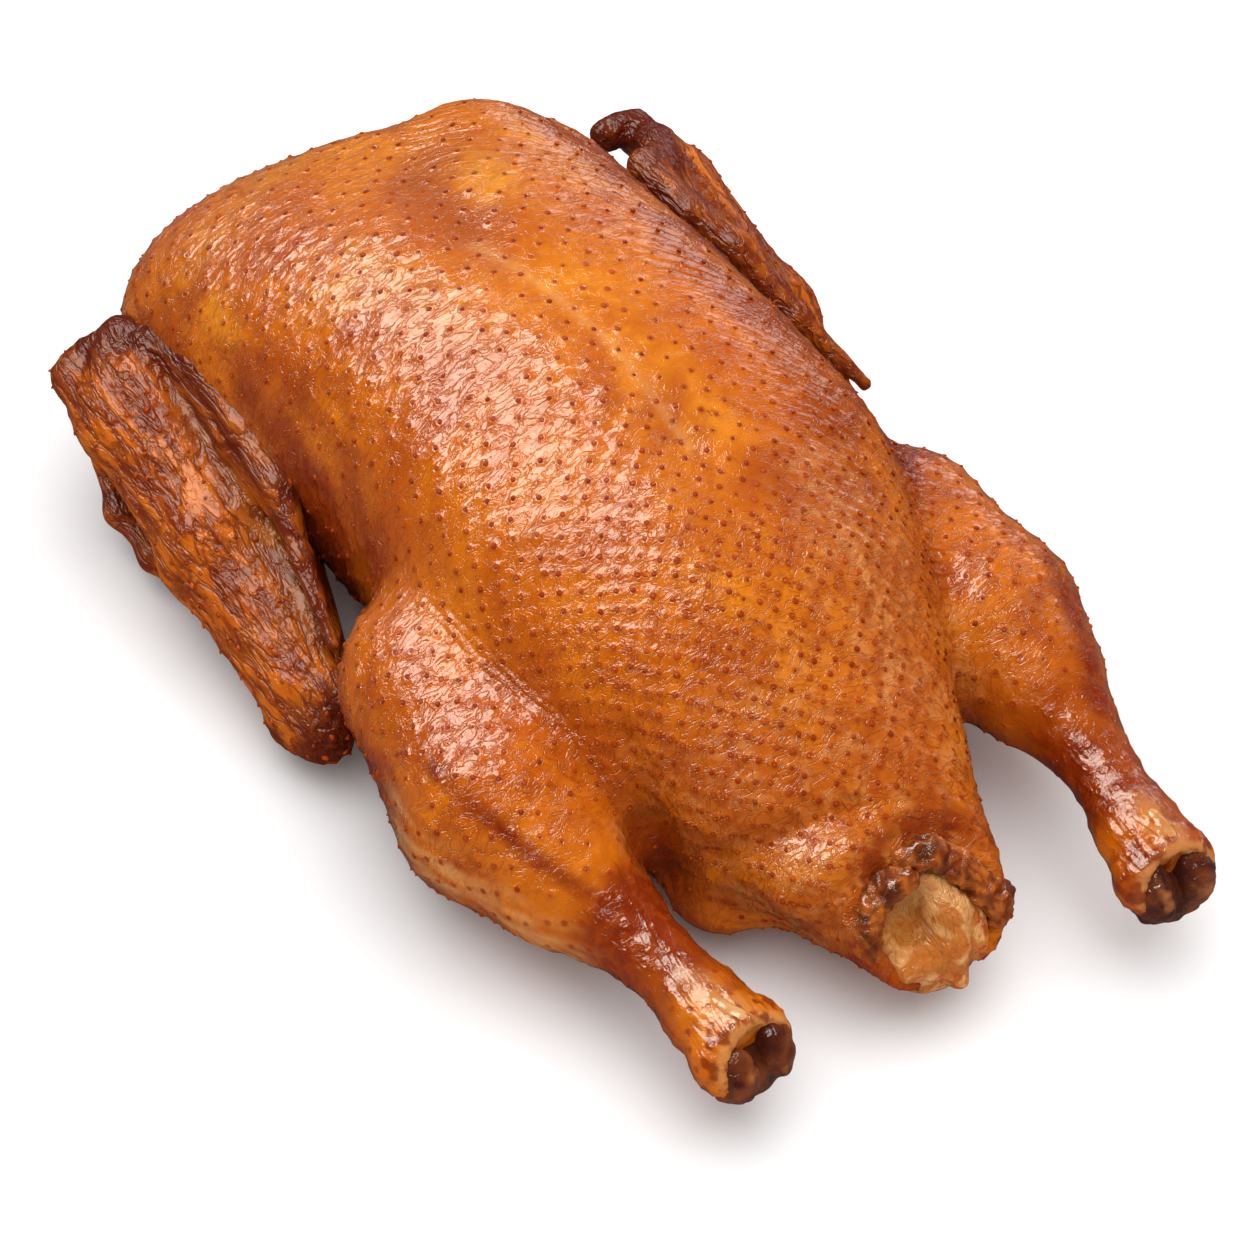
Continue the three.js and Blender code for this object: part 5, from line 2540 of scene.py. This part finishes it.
@dataclass
class Hock:
    """The meshes at a cut hock.

    Attributes:
        shape: the forms.
        cell: how fine the nets are.
        room: how far the forms reach from the middle of the cut.
    """

    shape: HockShape
    cell: float = 0.6
    room: float = 24.0

    def build(self, bench: Bench, groups: Groups) -> None:
        """Makes the joint and the tendon.

        Args:
            bench: makes the objects.
            groups: the shared shader effects.
        """
        word = self.shape.leg.side.word
        middle = np.array(self.shape.leg.hock.middle)
        start = np.array(self.shape.leg.places[-3][:3])
        low = np.minimum(middle - self.room, start - 8.0)
        high = np.maximum(middle + self.room, start + 8.0)
        joint = NetMaker(self.cell, band=2.5).over(self.shape.joint, tuple(low), tuple(high))
        joint.raise_by(Noise(41).at(joint.points, 4.2) * 0.85 + Noise(42).at(joint.points, 2.0) * 0.25 - 0.15)
        local = self.shape.leg.hock.local(joint.points)
        joint.values["tip"] = ease(local[:, 2], 0.5, 4.2)
        # A patch of painted shade in the recess between the knuckles.
        across, up = (local[:, 0] - 1.6) / 3.2, (local[:, 1] - 5.5) / 5.0
        joint.values["hollow"] = np.exp(-(across**2 + up**2))
        bone = KnuckleFinish().make(groups)
        bench.make(f"hock_joint_{word}", joint, bone, Slot.BONE, (f"shank_bone_{word}",))
        low, high = tuple(middle - self.room), tuple(middle + self.room)
        cord = NetMaker(self.cell, band=2.5).over(self.shape.cord, low, high)
        cord.raise_by(Noise(43).at(cord.points, 3.5) * 0.3)
        bench.make(f"tendon_{word}", cord, CordFinish().make(groups), Slot.BONE, (f"shank_bone_{word}",))


@dataclass
class VentEnd:
    """What shows in the cut at the tail: the pale flesh and the rolled rim of skin round its top.

    Attributes:
        vent: the cut.
        left_roll: places along the left part of the rim, in the frame of the cut.
        right_roll: the same for the right part.
        cell: how fine the nets are.
        room: how far the forms reach from the middle of the cut.
    """

    vent: Vent
    left_roll: tuple[Place, ...] = (
        (-18.4, -2.5, -1.6, 2.2),
        (-18.2, 4.0, -0.2, 2.6),
        (-15.4, 9.0, 0.8, 3.1),
        (-10.2, 12.4, 1.6, 3.6),
        (-4.8, 12.2, 2.6, 3.1),
    )
    right_roll: tuple[Place, ...] = (
        (-3.0, 16.8, 0.8, 3.0),
        (3.2, 15.6, 2.2, 3.8),
        (9.0, 10.0, 2.6, 3.4),
        (13.2, 2.4, 2.4, 3.3),
        (17.4, -2.6, 1.0, 3.9),
        (16.6, -7.4, -0.4, 3.1),
    )
    cell: float = 0.6
    room: float = 30.0

    @property
    def flesh(self) -> Form:
        """The pale flesh: a bowl with a ridge beside it."""
        at = self.vent.at
        full = at.ball((-1.5, -2.5, -7.0), (16.5, 18.0, 8.6))
        bowl = Scooped(full, at.ball((-7.0, 3.5, 4.6), (8.8, 10.5, 8.8)), 2.0)
        ridge = at.limb(
            ((3.0, 9.0, -1.5, 4.6), (3.4, 0.0, 0.6, 4.4), (2.6, -9.0, 0.6, 3.8), (1.2, -18.5, -1.0, 2.4)),
            5.0,
        )
        side = at.ball((9.5, -5.5, -2.5), (4.6, 11.0, 5.0))
        lump = at.ball((-8.0, -10.0, -1.6), (6.5, 4.6, 3.6))
        return Cluster((bowl, ridge, side, lump), 2.6)

    def build(self, bench: Bench, groups: Groups) -> None:
        """Makes the flesh and the rim.

        Args:
            bench: makes the objects.
            groups: the shared shader effects.
        """
        middle = np.array(self.vent.middle)
        box = (tuple(middle - self.room), tuple(middle + self.room))
        flesh = NetMaker(self.cell, band=2.5).over(self.flesh, *box)
        flesh.raise_by(Noise(51).at(flesh.points, 6.0) * 0.7 + Noise(52).at(flesh.points, 2.4) * 0.22)
        local = self.vent.at.local(flesh.points)
        flesh.values["bowl"] = np.exp(-(((local[:, 0] + 8.0) / 8.0) ** 2 + ((local[:, 1] - 1.0) / 9.0) ** 2))
        flesh.values["stain"] = ease(local[:, 0], 4.0, 12.0) + 0.7 * ease(local[:, 1], -10.0, -17.0)
        bench.make("tail_flesh_cut", flesh, FleshFinish().make(groups), Slot.FLESH, ("tail_flesh",))
        finish = RimFinish().make(groups)
        for word, places in (("left", self.left_roll), ("right", self.right_roll)):
            roll = NetMaker(self.cell, band=2.5).over(self.vent.at.limb(places, 3.0), *box)
            folds = 1.0 - 2.2 * np.abs(Noise(53).at(roll.points, 4.2))
            fine = 1.0 - 2.2 * np.abs(Noise(54).at(roll.points, 2.1))
            # How high each point stands on the folds, which the finish paints lighter as painted light.
            roll.values["fold"] = (0.5 + 0.5 * folds + 0.25 * fine).clip(0, 1)
            roll.raise_by(folds * 1.0 + fine * 0.35 - 0.4)
            bench.make(f"vent_rim_{word}", roll, finish, Slot.SKIN, ("duck_body",))


# ---------------------------------------------------------------- studio


@dataclass(frozen=True)
class Studio:
    """A plain pale floor, soft studio light and the camera.

    Attributes:
        floor_size: the floor's width in metres.
        azimuth: the camera's way round the duck, in degrees.
        elevation: its height above the table, in degrees.
        reach: how far it stands from what it looks at, in metres.
        lens: its focal length in millimetres, on a frame 36 mm wide.
        aim: what it looks at, from the middle of the duck's box, in metres.
    """

    azimuth: float = -30.5
    elevation: float = 48.0
    reach: float = 0.9196
    lens: float = 100.0
    aim: Spot = (-0.01003, -0.02251, -0.01717)
    floor_size: float = 8.0

    def build(self) -> None:
        """Makes floor, camera, lights and surroundings."""
        middle = (CAD_LOW + CAD_HIGH) / 2 + Vector(self.aim)
        self._camera(middle)
        self._floor()
        key = self._lamp("key_softbox", middle + Vector((-0.75, 1.15, 1.97)), middle, (2.15, 2.2), 172.0)
        key.data.color = (1.0, 0.95, 0.84)
        key.visible_diffuse = False
        strip = self._lamp("strip_softbox", middle + Vector((1.86, 1.4, 0.42)), middle, (1.7, 0.8), 9.0)
        strip.visible_diffuse = False
        fill = self._lamp("overhead_fill", middle + Vector((0.08, 0.0, 1.5)), middle, (2.0, 2.0), 27.0)
        fill.visible_glossy = False
        self._surroundings()
        bpy.context.scene.view_settings.view_transform = "Standard"

    def _camera(self, middle: Vector) -> None:
        """The camera at its viewing angle.

        Args:
            middle: the middle of the duck's box.
        """
        a, e = math.radians(self.azimuth), math.radians(self.elevation)
        ahead = Vector((-math.sin(a) * math.cos(e), math.cos(a) * math.cos(e), -math.sin(e)))
        camera = bpy.data.objects.new("camera", bpy.data.cameras.new("camera"))
        camera.data.lens = self.lens
        camera.data.sensor_width = 36.0
        camera.location = middle - ahead * self.reach
        camera.rotation_euler = ahead.to_track_quat("-Z", "Y").to_euler()
        bpy.context.scene.collection.objects.link(camera)
        bpy.context.scene.camera = camera

    def _floor(self) -> None:
        """A wide pale floor."""
        half = self.floor_size / 2
        mesh = bpy.data.meshes.new("floor")
        corners = [(-half, -half, 0), (half, -half, 0), (half, half, 0), (-half, half, 0)]
        mesh.from_pydata(corners, [], [(0, 1, 2, 3)])
        floor = bpy.data.objects.new("floor", mesh)
        bpy.context.scene.collection.objects.link(floor)
        material = bpy.data.materials.new("pale_floor")
        material.use_nodes = True
        tree = Tree(material.node_tree)
        shader = tree.nodes["Principled BSDF"]
        shader.inputs["Specular IOR Level"].default_value = 0.0
        shader.inputs["Roughness"].default_value = 0.9
        grain = tree.noise(tree.here(), 6.0)
        white = tree.mix(grain, (0.885, 0.885, 0.885), (0.9, 0.9, 0.9))
        mirrored = tree.node("LightPath").outputs["Is Glossy Ray"]
        tree.feed(tree.mix(mirrored, white, (0.08, 0.08, 0.08)), shader.inputs["Base Color"])
        mesh.materials.append(material)

    @staticmethod
    def _lamp(
        name: str,
        place: Vector,
        target: Vector,
        size: tuple[float, float],
        power: float,
    ) -> bpy.types.Object:
        """A rectangular soft light.

        Args:
            name: the light's name.
            place: where it hangs.
            target: what it is aimed at.
            size: its width and height in metres.
            power: its power in watts.

        Returns:
            The light.
        """
        data = bpy.data.lights.new(name, "AREA")
        data.shape = "RECTANGLE"
        data.size, data.size_y = size
        data.energy = power
        lamp = bpy.data.objects.new(name, data)
        lamp.location = place
        lamp.rotation_euler = (target - place).to_track_quat("-Z", "Y").to_euler()
        bpy.context.scene.collection.objects.link(lamp)
        return lamp

    @staticmethod
    def _surroundings() -> None:
        """Even soft light from all round; what the gloss mirrors of it is dim, and brighter on the right."""
        world = bpy.data.worlds.new("studio")
        world.use_nodes = True
        bpy.context.scene.world = world
        tree = Tree(world.node_tree)
        tree.nodes.clear()
        back = tree.node("Background")
        way = tree.node("TexCoord").outputs["Generated"]
        split = tree.node("SeparateXYZ")
        tree.feed(way, split.inputs[0])
        lit = tree.step(split.outputs["Z"], 0.1, 0.6, 0.6, 0.7)
        mirrored = tree.step(tree.vector("DOT_PRODUCT", way, (0.8, 0.6, 0.0)), 0.3, 1.0, 0.012, 0.22)
        glossy = tree.node("LightPath").outputs["Is Glossy Ray"]
        strength = tree.scaled(glossy, tree.math("SUBTRACT", mirrored, lit), lit)
        tree.feed(strength, back.inputs["Strength"])
        back.inputs["Color"].default_value = (1.0, 0.995, 0.99, 1.0)
        end = tree.node("OutputWorld")
        tree.feed(back.outputs[0], end.inputs[0])


def main() -> None:
    """Builds the duck and its studio in order."""
    logging.basicConfig(level=logging.INFO, format="%(message)s")
    bench = Bench()
    groups = Groups()
    Studio().build()
    carcass = DUCK
    Skin(carcass).build(bench, groups)
    for shape in (LEFT_WING, RIGHT_WING):
        Wing(shape).build(bench, groups)
    for hock in (LEFT_HOCK, RIGHT_HOCK):
        Hock(hock).build(bench, groups)
    VentEnd(carcass.vent).build(bench, groups)


if __name__ == "__main__":
    main()
